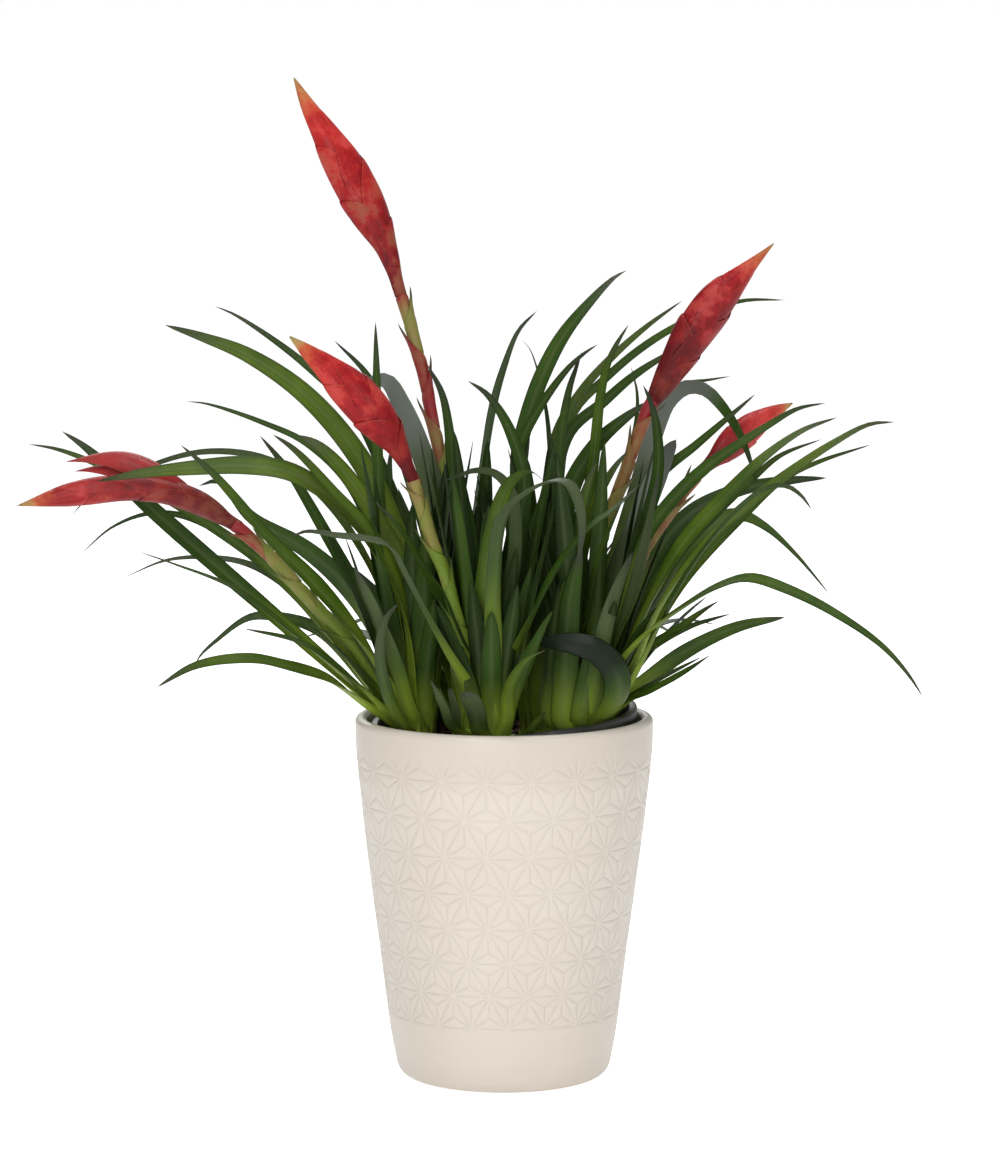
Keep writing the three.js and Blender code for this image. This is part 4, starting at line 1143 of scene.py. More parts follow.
@dataclass(frozen=True)
class BractRed(Finish):
    """Waxy red bracts: deep red at the foot, scarlet in the middle, orange and yellow at the tip, with
    painted pink sheen in patches higher up.

    The heat mix is how much patches, streaks, the place up the head, the place along the bract and the
    head's painted shade move the red from deep to scarlet. Places are shares of the bract or of the head.
    """

    deep: Colour = (0.100, 0.002, 0.004)
    red: Colour = (0.285, 0.004, 0.008)
    scarlet: Colour = (0.590, 0.024, 0.020)
    orange: Colour = (0.560, 0.150, 0.045)
    yellow: Colour = (0.410, 0.400, 0.130)
    # Pink of faded bracts, and of the painted sheen.
    faded_pink_and_sheen: Colour = (0.560, 0.085, 0.075)
    husk: Colour = (0.250, 0.090, 0.045)
    patches: float = 110.0
    grains: float = 1800.0
    spread: float = 0.16
    heat_mix: Sequence[float] = (0.34, 0.1, 0.6, 0.16, -0.6)
    edge: Span = (0.9, 1.0)
    edge_along: Span = (0.6, 1.0)
    edge_strength: float = 0.45
    patch_lead: float = 0.1
    orange_from: Span = (0.82, 1.0)
    yellow_from: Span = (0.93, 1.03)
    tip_strength: float = 0.85
    painted_pink_sheen: Span = (0.35, 0.9)
    painted_pink_sheen_along: Span = (0.25, 0.6)
    painted_pink_sheen_strength: float = 0.4
    pale_mix: Span = (0.1, 0.6)
    dry_patch: Span = (0.45, 0.95)
    patch_depth: float = 0.22

    def surface(self, nodes: Nodes) -> Look:
        """Colours a bract.

        Args:
            nodes: The material's nodes.

        Returns:
            Its colour, roughness and normal.
        """
        across, along, shade = nodes.attribute("leaf")
        rank, pale, husk = nodes.attribute("tint")
        rib, streak = self.fibres(nodes, across, along)
        patch, _ = self.mottling(nodes)
        # The head's shade value pulls the red towards deep: painted shade.
        heat = nodes.weigh(*zip((patch, streak, rank, along, shade), self.heat_mix))
        red = nodes.ramp(heat, ((0.2, self.deep), (0.5, self.red), (0.9, self.scarlet)))
        rising = nodes.span(along, *self.edge_along, (0.0, self.edge_strength))
        edge = nodes.times(nodes.span(nodes.from_middle(across), *self.edge), rising)
        red = nodes.blend(edge, red, self.orange)
        late = nodes.weigh((patch, self.patch_lead), base=rank)
        red = nodes.blend(nodes.span(late, *self.orange_from, (0, self.tip_strength)), red, self.orange)
        red = nodes.blend(nodes.span(late, *self.yellow_from, (0, self.tip_strength)), red, self.yellow)
        # Pink patches higher up the head: painted sheen.
        higher = nodes.span(rank, *self.painted_pink_sheen_along, (0.0, self.painted_pink_sheen_strength))
        painted_pink_sheen = nodes.times(nodes.span(patch, *self.painted_pink_sheen), higher)
        least, more = self.pale_mix
        faded = nodes.times(pale, nodes.weigh((along, more), base=least))
        red = nodes.blend(nodes.math("MAXIMUM", painted_pink_sheen, faded), red, self.faded_pink_and_sheen)
        red = nodes.blend(nodes.times(husk, nodes.span(patch, *self.dry_patch)), red, self.husk)
        normal = nodes.bump(patch, self.patch_depth, nodes.bump(rib, self.rib_depth))
        return red, self.vary(nodes, streak), normal


@dataclass(frozen=True)
class StalkGreen(Finish):
    """Stalks: yellow-green below, turning brown-red upwards, each sheath greener and darker at its tip."""

    green: Colour = (0.150, 0.235, 0.022)
    olive: Colour = (0.260, 0.200, 0.060)
    russet: Colour = (0.270, 0.016, 0.020)
    tip: Colour = (0.055, 0.085, 0.028)
    ribs: float = 14.0
    rib_stretch: float = 2.0
    patches: float = 140.0
    grains: float = 1500.0
    spread: float = 0.16
    blush_mix: Sequence[float] = (0.16, 0.12, 0.8)
    tip_from: Span = (0.72, 0.9)
    tip_strength: float = 0.8
    rib_depth: float = 0.06

    def surface(self, nodes: Nodes) -> Look:
        """Colours a stalk.

        Args:
            nodes: The material's nodes.

        Returns:
            Its colour, roughness and normal.
        """
        across, along, _ = nodes.attribute("leaf")
        blush, _, _ = nodes.attribute("tint")
        rib, streak = self.fibres(nodes, across, along)
        patch, _ = self.mottling(nodes)
        level = nodes.weigh(*zip((patch, streak, blush), self.blush_mix))
        colour = nodes.ramp(level, ((0.25, self.green), (0.5, self.olive), (0.85, self.russet)))
        colour = nodes.blend(nodes.span(along, *self.tip_from, (0, self.tip_strength)), colour, self.tip)
        normal = nodes.bump(patch, self.patch_depth, nodes.bump(rib, self.rib_depth))
        return colour, self.vary(nodes, streak), normal


@dataclass(frozen=True)
class CreamGlaze(Finish):
    """Satin cream glaze over the carved hemp-leaf pattern, warmer where it pools in the cuts.

    The band of painted shade is where the plain strip under the lip begins to darken, as heights in metres.
    """

    cream: Colour = (0.700, 0.634, 0.556)
    warm: Colour = (0.664, 0.588, 0.500)
    pale: Colour = (0.670, 0.615, 0.545)
    # Glaze pooled in the cuts and specks, and also the colour of the painted shade at the foot, inside and
    # under the lip.
    pool_and_painted_shade: Colour = (0.530, 0.465, 0.385)
    patches: float = 26.0
    grains: float = 1100.0
    warm_strength: float = 0.5
    painted_shade_band: Span = (0.098, 0.112)
    painted_shade_band_strength: float = 0.34
    rim_strength: float = 0.6
    specks: float = 420.0
    speck_size: Span = (0.16, 0.05)
    speck_strength: float = 0.22
    foot_end: float = 0.6
    foot_strength: float = 0.2
    line_strength: float = 0.06
    line_depth: float = -0.12
    patch_depth: float = 0.25

    def surface(self, nodes: Nodes) -> Look:
        """Colours the glaze.

        Args:
            nodes: The material's nodes.

        Returns:
            Its colour, roughness and normal.
        """
        rim, foot, _ = nodes.attribute("glaze")
        where = nodes.coordinates()
        _, _, height = nodes.parts(where)
        patch, grain = self.mottling(nodes)
        (line,) = nodes.effect("hemp_leaf")
        line = nodes.times(line, nodes.span(foot, self.foot_end, 0.0))
        speck = nodes.span(nodes.cells(where, self.specks), *self.speck_size, (0, self.speck_strength))
        colour = nodes.blend(nodes.times(patch, self.warm_strength), self.cream, self.warm)
        # Darker strip under the lip: painted shade.
        colour = nodes.blend(nodes.span(height, *self.painted_shade_band, (0, self.painted_shade_band_strength)), colour, self.pool_and_painted_shade)
        colour = nodes.blend(nodes.times(rim, self.rim_strength), colour, self.pale)
        colour = nodes.blend(speck, colour, self.pool_and_painted_shade)
        colour = nodes.blend(nodes.times(line, self.line_strength), colour, self.pool_and_painted_shade)
        # Darker at the foot and inside the wall: painted shade.
        colour = nodes.blend(nodes.times(foot, self.foot_strength), colour, self.pool_and_painted_shade)
        normal = nodes.bump(patch, self.patch_depth, nodes.bump(line, self.line_depth))
        return colour, self.vary(nodes, grain), nodes.bump(grain, self.grain_depth, normal)


@dataclass(frozen=True)
class BlackPlastic(Finish):
    """Thin moulded black plastic, a little dusty and scuffed.

    The scuffs run round the wall, so their pattern is squeezed upwards.
    """

    black: Colour = (0.010, 0.012, 0.010)
    dust: Colour = (0.070, 0.066, 0.056)
    patches: float = 70.0
    grains: float = 700.0
    spread: float = 0.25
    scuffs: float = 190.0
    squeeze: float = 14.0
    scuffed: Span = (0.52, 0.7)
    scuff_strength: float = 0.3
    dusty: Span = (0.4, 1.0)
    dust_strength: float = 0.35
    depth: float = 0.03

    def surface(self, nodes: Nodes) -> Look:
        """Colours the plastic.

        Args:
            nodes: The material's nodes.

        Returns:
            Its colour, roughness and normal.
        """
        patch, grain = self.mottling(nodes)
        x, y, z = nodes.parts(nodes.coordinates())
        where = nodes.vector(x, y, nodes.times(z, self.squeeze))
        scuff = nodes.noise(where, self.scuffs, detail=3, rough=0.6)
        worn = nodes.span(scuff, *self.scuffed, (0, self.scuff_strength))
        dusty = nodes.math("MAXIMUM", worn, nodes.span(patch, *self.dusty, (0, self.dust_strength)))
        colour = nodes.blend(dusty, self.black, self.dust)
        return colour, self.vary(nodes, scuff), nodes.bump(grain, self.depth, nodes.bump(scuff, self.depth))


@dataclass(frozen=True)
class Peat(Finish):
    """Damp peat and bark chips."""

    dark: Colour = (0.014, 0.009, 0.006)
    brown: Colour = (0.070, 0.036, 0.018)
    straw: Colour = (0.190, 0.120, 0.060)
    patches: float = 260.0
    grains: float = 1300.0
    crumbs: float = 700.0
    light_mix: Span = (0.4, 0.6)
    crumb_depth: float = 0.5
    grain_depth: float = 0.2

    def surface(self, nodes: Nodes) -> Look:
        """Colours the soil.

        Args:
            nodes: The material's nodes.

        Returns:
            Its colour, roughness and normal.
        """
        chip, _, _ = nodes.attribute("leaf")
        patch, grain = self.mottling(nodes)
        level = nodes.weigh(*zip((patch, chip), self.light_mix))
        colour = nodes.ramp(level, ((0.1, self.dark), (0.55, self.brown), (1.0, self.straw)))
        crumb = nodes.cells(nodes.coordinates(), self.crumbs)
        normal = nodes.bump(crumb, self.crumb_depth, nodes.bump(grain, self.grain_depth))
        return colour, self.vary(nodes, patch), normal


# --- pots and soil
@dataclass
class CarvedPot:
    """The glazed pot, carved all round with a hemp-leaf pattern of linked stars.

    The wall is the outer side's radius against its height. A star is as many steps wide as a row is high,
    and the waves are the size, the folds and the pitch of the wall's slight unevenness.
    """

    height: float = 122.0
    wall: Sequence[Span] = (
        (36.2, 6), (37.9, 15), (41.3, 41.5), (44.8, 68), (48, 95), (49.6, 112), (49.8, 120),
    )
    foot_radius: float = 30.0
    foot_corner: Span = (35.6, 0.4)
    thickness: float = 4.0
    floor: float = 5.0
    floor_corner: float = 3.0
    pattern: HempLeaf = HempLeaf()
    steps: int = 20
    steps_below: int = 4
    plain_steps: tuple[int, int] = (18, 9)
    base_steps: int = 5
    floor_steps: int = 4
    corner_steps: int = 7
    lip_steps: int = 12
    inner_steps: int = 16
    cut_depth: float = 0.25
    cut_width: float = 0.052
    cut_from: float = 8.0
    waves: Sequence[Place] = ((0.14, 3, 31), (0.1, 5, -19))
    wave_from: Span = (4.0, 30.0)
    skin: Span = (1.5, 0.8)
    # Heights over which the painted shade at the foot fades out.
    painted_foot_shade: Span = (1.0, 12.0)
    rim: float = 2.2

    def radius(self, height: Array) -> Array:
        """The outer wall's radius at a height."""
        line = Line([np.array((r, z, 0.0)) for r, z in self.wall])
        return np.interp(height, line.fine[:, 1], line.fine[:, 0])

    def cut(self, angle: Array, height: Array) -> Array:
        """How deep the carving is, from 0 to 1.

        Args:
            angle: Radians round the pot from the front.
            height: Millimetres above the table.

        Returns:
            The carving's depth at each place.
        """
        pattern = self.pattern
        across = (angle - math.radians(pattern.first_star)) * pattern.stars / math.tau
        row = pattern.row(height)
        reach = np.full(np.shape(across), np.inf)
        side, rise = np.zeros_like(reach), np.zeros_like(reach)
        for shift in pattern.shifts:
            u = across - shift - np.round(across - shift)
            v = 2 * pattern.rise * (row / 2 - shift - np.round(row / 2 - shift))
            nearer = np.hypot(u, v) < reach
            reach = np.where(nearer, np.hypot(u, v), reach)
            side, rise = np.where(nearer, u, side), np.where(nearer, v, rise)
        turn = np.arctan2(rise, side) / pattern.ray
        off = reach * np.abs(np.sin((turn - np.round(turn)) * pattern.ray))
        line = (1 - ease(off, 0.0, self.cut_width)) * ease(reach, *pattern.hub)
        return line * ease(row, *pattern.bottom_edge) * (1 - ease(row, *pattern.top_edge))

    def profile(self) -> list[Span]:
        """Draws the pot's section.

        Returns:
            Radius and height from the underside's middle, up the outside, over the lip and down inside.
        """
        foot = self.wall[0]
        points = run((0.0, 0.0), (self.foot_radius, 0.0), self.base_steps)
        start, corner = np.array((self.foot_radius, 0.0)), np.array(self.foot_corner)
        for share in np.linspace(0, 1, self.corner_steps, endpoint=False):
            bend = start * (1 - share) ** 2 + corner * 2 * share * (1 - share) + np.array(foot) * share**2
            points.append(tuple(bend))
        lip = self.thickness / 2
        step = 1 / self.steps
        rows = np.arange(-self.steps_below * step, self.pattern.top_edge[1] + step / 5, step)
        rows = self.pattern.height(rows)
        low, high = self.plain_steps
        heights = [*np.linspace(foot[1], rows[0], low)[:-1], *rows]
        heights += [*np.linspace(rows[-1], self.height - lip, high)[1:]]
        points += [(float(self.radius(height)), float(height)) for height in heights]
        middle = self.wall[-1][0] - lip
        for turn in np.linspace(0, math.pi, self.lip_steps + 1)[1:-1]:
            points.append((middle + lip * math.cos(turn), self.height - lip + lip * math.sin(turn)))
        for height in np.linspace(self.height - lip, self.floor + self.floor_corner, self.inner_steps):
            points.append((float(self.radius(max(height, foot[1]))) - self.thickness, float(height)))
        points += run((points[-1][0] - self.floor_corner, self.floor), (0.0, self.floor), self.floor_steps)
        return points + [(0.0, self.floor)]

    def build(self, finish: Material) -> Body:
        """Turns and carves the pot.

        Args:
            finish: The glaze.

        Returns:
            The pot.
        """
        columns = self.pattern.stars * self.steps
        pot = turned("glazed_pot", self.profile(), columns)
        points = places(pot.data)
        spin(points, math.radians((90 - self.pattern.first_star) % (360 / columns)))
        reach = np.hypot(points[:, 0], points[:, 1])
        angle = np.arctan2(points[:, 0], -points[:, 1])
        height = points[:, 2]
        wall = self.radius(height)
        outside = (reach > wall - 0.5) & (height > self.cut_from)
        cut = np.where(outside, self.cut(angle, height), 0.0)
        wave = sum(size * np.sin(folds * angle + height / pitch) for size, folds, pitch in self.waves)
        wave = wave * ease(height, *self.wave_from)
        swell(points, reach, wave - cut * self.cut_depth)
        put(pot.data, points)
        # The glaze's second value marks the foot and the inside wall, where the glaze is darkened as
        # painted shade.
        inside = 1 - ease(reach, *(wall - skin for skin in self.skin))
        foot = np.maximum(1 - ease(height, *self.painted_foot_shade), inside * (height < self.height - 2))
        tag(pot.data, "glaze", (ease(height, self.height - self.rim, self.height), foot))
        return whole([pot], pot.name, finish)


@dataclass
class NurseryPot:
    """The thin black pot that the plant was grown in.

    The lip and the corner are drawn as steps outwards and upwards, from the foot of the lip and from the
    edge of the underside. The rise is how far the lip climbs to the right and to the back, and the rings
    are those underneath, up the wall, down inside it and over the floor.
    """

    bottom: float = 5.3
    floor: float = 5.0
    top: float = 122.2
    base_radius: float = 28.0
    top_radius: float = 43.2
    lip_radius: float = 44.6
    lip_drop: float = 4.0
    lip: Sequence[Span] = ((-0.3, 0.3), (0.0, 0.8), (0.0, 3.4), (-0.25, 3.85), (-0.6, 4.0))
    corner: Sequence[Span] = ((-0.3, 0.2), (0.0, 0.8))
    thickness: float = 1.2
    edge: float = 0.3
    rise: Span = (3.0, 1.2)
    waves: Sequence[Place] = ((0.25, 5, 1.0), (0.15, 9, 0.0))
    rib_depth: float = 0.12
    rib_fade: Span = (8.0, 1.0)
    ribs: int = 30
    rings: tuple[int, int, int, int] = (6, 26, 20, 5)
    columns: int = 180
    crease: float = 40.0

    def radius(self, height: float) -> float:
        """The outer wall's radius at a height."""
        share = (height - self.floor) / (self.top - self.floor)
        return self.base_radius + (self.top_radius - self.base_radius) * share

    def profile(self) -> list[Span]:
        """Draws the pot's section.

        Returns:
            Radius and height from the underside's middle round to the inside's.
        """
        below, outside, inside, across = self.rings
        under = self.top - self.lip_drop
        base = self.radius(self.bottom)
        points = run((0.0, self.bottom), (base - 1.0, self.bottom), below)
        points += [(base + out, self.bottom + up) for out, up in self.corner]
        points += run((base, self.bottom + 2), (self.radius(under), under), outside)
        points += [(self.radius(under), under)]
        points += [(self.lip_radius + out, under + up) for out, up in self.lip]
        inner = self.radius(self.top) - self.thickness
        points += [(inner + self.edge, self.top), (inner, self.top - self.edge)]
        floor = self.bottom + self.thickness
        points += run((inner - 0.1, self.top - 1), (self.radius(floor) - self.thickness, floor + 1), inside)
        points += run((self.radius(floor) - self.thickness - 1, floor), (0.0, floor), across)
        return points + [(0.0, floor)]

    def build(self, finish: Material) -> Body:
        """Turns the pot, ribs its wall and lets its soft lip wave.

        Args:
            finish: The plastic.

        Returns:
            The pot.
        """
        pot = turned("nursery_tub", self.profile(), self.columns)
        points = places(pot.data)
        angle = np.arctan2(points[:, 1], points[:, 0])
        under = self.top - self.lip_drop
        lip = ease(points[:, 2], under - 1, under + 0.5)
        slope = points[:, :2] @ np.array(self.rise) / self.lip_radius
        wave = sum(size * np.sin(folds * angle + start) for size, folds, start in self.waves)
        points[:, 2] += lip * (slope + wave)
        reach = np.hypot(points[:, 0], points[:, 1])
        ribs = self.rib_depth * np.cos(self.ribs * angle) * (1 - lip)
        swell(points, reach, ribs * ease(reach, *(self.base_radius - fade for fade in self.rib_fade)))
        put(pot.data, points)
        return whole([pot], pot.name, finish, self.crease)


@dataclass
class Soil:
    """Peat with loose bark chips on top. Its rings are those underneath, up its side and over its top."""

    bottom: float = 6.8
    top: float = 112.0
    crown: float = 1.0
    clear: float = 1.5
    columns: int = 120
    rings: tuple[int, int, int] = (5, 8, 26)
    lump_size: float = 3.1
    lump_height: float = 0.9
    lump_noise: Place = (0.7, 2.0, 4)
    peat_shade: float = 0.15
    chips: int = 420
    chip_size: Span = (0.9, 2.4)
    chip_width: Span = (0.4, 0.8)
    chip_height: Span = (0.2, 0.5)
    chip_tilt: float = 0.25
    chip_rough: float = 0.2
    chip_rise: Span = (0.0, 0.8)
    chip_shade: Span = (0.1, 1.0)
    from_wall: float = 2.0
    from_shoot: float = 6.5
    crease: float = 35.0

    def build(self, tub: NurseryPot, shoots: Sequence[Shoot], finish: Material) -> Body:
        """Heaps the soil and scatters chips between the shoots.

        Args:
            tub: The pot that holds it.
            shoots: The shoots that stand in it.
            finish: The soil's finish.

        Returns:
            The soil and its chips as one piece.
        """
        low, high = tub.radius(self.bottom) - self.clear, tub.radius(self.top) - self.clear
        crown = (0.0, self.top + self.crown)
        foot, edge = (low, self.bottom), (high, self.top)
        under, wall, top = self.rings
        profile = run((0.0, self.bottom), foot, under) + run(foot, edge, wall) + run(edge, crown, top)
        heap = turned("heap", [*profile, crown], self.columns)
        points = places(heap.data)
        surface = (points[:, 2] >= self.top - 0.1) & (np.hypot(points[:, 0], points[:, 1]) < high - 1)
        lumps = np.array([noise.fractal(Vector(p) / self.lump_size, *self.lump_noise) for p in points])
        points[:, 2] += np.where(surface, np.clip(lumps, -1, 1) * self.lump_height, 0.0)
        put(heap.data, points)
        tag(heap.data, "leaf", (self.peat_shade, 0.0, 0.0))
        return whole([heap, *self._scatter(high, shoots)], "potting_mix", finish, self.crease)

    def _scatter(self, reach: float, shoots: Sequence[Shoot]) -> list[Body]:
        """Lays bark chips on the heap, clear of the shoots.

        Args:
            reach: The heap's radius.
            shoots: The shoots that stand in it.

        Returns:
            The chips.
        """
        rng = np.random.default_rng(7)
        select()
        bpy.ops.mesh.primitive_ico_sphere_add(subdivisions=1, radius=1.0, location=(0, 0, 0))
        chip = bpy.context.object
        shape = places(chip.data) * MM
        roots = np.array([shoot.at for shoot in shoots])
        copies = []
        while len(copies) < self.chips:
            place = rng.uniform(-reach, reach, 2)
            nearest = np.min(np.hypot(*(roots - place).T))
            if np.hypot(*place) > reach - self.from_wall or nearest < self.from_shoot:
                continue
            size = rng.uniform(*self.chip_size)
            size = size * np.array((1.0, rng.uniform(*self.chip_width), rng.uniform(*self.chip_height)))
            turn, tilt = rng.uniform(0, math.tau), rng.normal(0, self.chip_tilt)
            body = shape * (1 + rng.uniform(-self.chip_rough, self.chip_rough, shape.shape)) * size
            body[:, 2] += body[:, 0] * tilt
            spin(body, turn)
            body[:, :2] += place
            body[:, 2] += self.top + self.crown + rng.uniform(*self.chip_rise)
            copy = link(f"chip_{len(copies)}", chip.data.copy())
            put(copy.data, body)
            tag(copy.data, "leaf", (rng.uniform(*self.chip_shade), 0.0, 0.0))
            copies.append(copy)
        bpy.data.objects.remove(chip)
        return copies


# --- leaves
@dataclass(frozen=True)
class Strap:
    """One leaf: its points from just above its root to its tip, its width, taper, roll and tone."""

    points: Sequence[Array]
    width: float
    taper: float
    roll: float
    tone: Tone


@dataclass
class Rosette:
    """All the leaves of one shoot.

    The channel is how deep a leaf's gutter is at its base and towards its tip, as shares of its half width.
    Hearts are the short upright leaves in the middle of the shoot, with leans in degrees. The stem's flutes
    are their size, their folds and their pitch.
    """

    blank: Blank
    root_height: float = 117.0
    root_spread: float = 4.5
    sunk: float = 9.0
    fuller: float = 1.02
    tip_fullness: float = 1.8
    tip_power: float = 0.7
    flare: float = 0.3
    flare_share: float = 0.25
    channel: Span = (0.46, 0.2)
    channel_end: float = 0.7
    channel_curve: float = 1.25
    channel_middle: float = 0.45
    half_thickness: Sequence[float] = (0.88, 0.55, 0.22)
    thick_at: Sequence[float] = (0.0, 0.2, 1.0)
    bulge: Span = (0.05, 5.0)
    edge_wave: Span = (0.07, 13.0)
    edge_offset: float = 1.5
    twist: Span = (math.radians(6), 4.0)
    tone_spread: float = 0.14
    age_spread: float = 0.3
    spare_shares: Sequence[float] = (0.3, 0.55, 0.8, 1.0)
    spare_width: float = 7.5
    spare_taper: float = 2.0
    droop: float = 0.34
    spread: float = 1.15
    hearts: int = 11
    heart_turn: float = 20.0
    heart_lean: Span = (3.0, 15.0)
    heart_length: Span = (58.0, 104.0)
    heart_width: float = 8.0
    stem: Sequence[Span] = (
        (0, 98), (3, 97.6), (6, 98.4), (7.6, 101), (7.8, 106), (7.4, 111), (6.6, 115), (5.2, 119),
        (3.4, 121.5), (1.6, 122.6), (0, 123),
    )
    stem_columns: int = 28
    stem_flutes: Place = (0.05, 5, 2.0)
    stem_tint: Place = (0.4, 0.2, 0.6)

    def build(self, shoot: Shoot, finish: Material) -> Body:
        """Grows the rosette.

        Args:
            shoot: The shoot.
            finish: The leaves' finish.

        Returns:
            All its leaves and its short stem as one piece.
        """
        rng = np.random.default_rng(sum(map(ord, shoot.name)))
        parts = []
        for width, taper, roll, tone, sheet in shoot.blades:
            strap = Strap([seen(place) for place in sheet], width, taper, roll, tone)
            parts.append(self._leaf(shoot, strap, rng))
        # Spare leaves and hearts take the two darkest tones: painted shade in the clump's middle.
        for direction, lean, length in shoot.spare:
            points = self._spare_points(shoot, direction, lean, length)
            strap = Strap(points, self.spare_width, self.spare_taper, 0, (INNER, SHADE)[len(parts) % 2])
            parts.append(self._leaf(shoot, strap, rng))
        for k in range(self.hearts):
            direction = 360 * k / self.hearts + rng.uniform(-self.heart_turn, self.heart_turn)
            lean, length = rng.uniform(*self.heart_lean), rng.uniform(*self.heart_length)
            points = self._spare_points(shoot, direction, lean, length)
            strap = Strap(points, self.heart_width, self.spare_taper, 0, (SHADE, INNER)[k % 2])
            parts.append(self._leaf(shoot, strap, rng))
        parts.append(self._stem(shoot))
        return whole(parts, f"leaves_{shoot.name}", finish)

    def _spare_points(self, shoot: Shoot, direction: float, lean: float, length: float) -> list[Array]:
        """Leads a spare leaf out in its direction and up, drooping as it leans.

        Args:
            shoot: The shoot that carries it.
            direction: Its direction from above, in degrees.
            lean: How far it leans from upright, in degrees.
            length: Its length.

        Returns:
            The points that it passes through.
        """
        angle, tilt = math.radians(direction), math.radians(lean)
        out = np.array((math.cos(angle), math.sin(angle), 0.0))
        points = []
        for share in self.spare_shares:
            reach = length * math.sin(tilt) * share**self.spread
            drop = self.droop * math.sin(tilt) ** 2 * share**3
            place = np.array((*shoot.at, self.root_height)) + out * (self.root_spread + reach)
            place[2] += length * (math.cos(tilt) * share - drop)
            points.append(place)
        return points

    def _leaf(self, shoot: Shoot, strap: Strap, rng: np.random.Generator) -> Body:
        """Bends one strap leaf along its points.

        Args:
            shoot: The shoot that carries it.
            strap: The leaf.
            rng: The rosette's random source.

        Returns:
            The leaf's mesh as an object.
        """
        blank, points = self.blank, strap.points
        axis = np.array((*shoot.at, self.root_height))
        root = axis + level(points[0] - axis) * self.root_spread
        line = Line([root, *points])
        ahead = level(points[min(2, len(points) - 1)] - root)
        at, along, side, outward = line.frames(blank.stations, np.cross((0.0, 0.0, 1.0), ahead))
        share, across, face = blank.share, blank.across, blank.face
        flare = 1 + self.flare * np.maximum(0, 1 - share / self.flare_share)
        half = strap.width / 2 * self.fuller * flare
        half = half * np.maximum(0, 1 - share ** (strap.taper * self.tip_fullness)) ** self.tip_power
        hollow = half * np.interp(share, (0, self.channel_end), self.channel)
        phase = rng.uniform(0, math.tau, 3)
        bulge = 1 + self.bulge[0] * np.sin(self.bulge[1] * share + phase[0])
        offset = phase[1] + self.edge_offset * np.sign(across)
        edge = self.edge_wave[0] * half * np.sin(self.edge_wave[1] * share + offset) * across**2
        thick = np.interp(share, self.thick_at, self.half_thickness) * np.minimum(1, half / 2)
        lift = hollow * (np.abs(across) ** self.channel_curve - self.channel_middle) + edge + face * thick
        sideways = across * half * bulge
        turn = math.radians(-strap.roll if ahead[0] > 0 else strap.roll)
        twist = turn * np.minimum(1, share * 2)
        twist = twist + self.twist[0] * share * np.sin(self.twist[1] * share + phase[2])
        row = blank.station
        shifted = sideways * np.cos(twist) + lift * np.sin(twist)
        raised = sideways * np.sin(twist) - lift * np.cos(twist)
        place = at[row] + side[row] * shifted[:, None] + outward[row] * raised[:, None]
        place[:, 2] -= np.where(row == 0, self.sunk, 0.0)
        light, grey, age = strap.tone.value
        light += rng.uniform(-self.tone_spread, self.tone_spread)
        tint = (light, grey, age + rng.uniform(0, self.age_spread))
        return blank.bend("leaf", place, (across / 2 + 0.5, share, np.clip(-face, 0, 1)), tint)

    def _stem(self, shoot: Shoot) -> Body:
        """Turns the short stem that the leaves clasp.

        Args:
            shoot: The shoot that it carries.

        Returns:
            The stem, slightly ribbed.
        """
        stem = turned("stem", self.stem, self.stem_columns)
        points = places(stem.data)
        angle = np.arctan2(points[:, 1], points[:, 0])
        size, folds, pitch = self.stem_flutes
        points[:, :2] *= (1 + size * np.sin(folds * angle + points[:, 2] / pitch))[:, None]
        points[:, :2] += shoot.at
        put(stem.data, points)
        tag(stem.data, "leaf", (angle / math.tau + 0.5, 0.1, 0.5))
        tag(stem.data, "tint", self.stem_tint)
        return stem


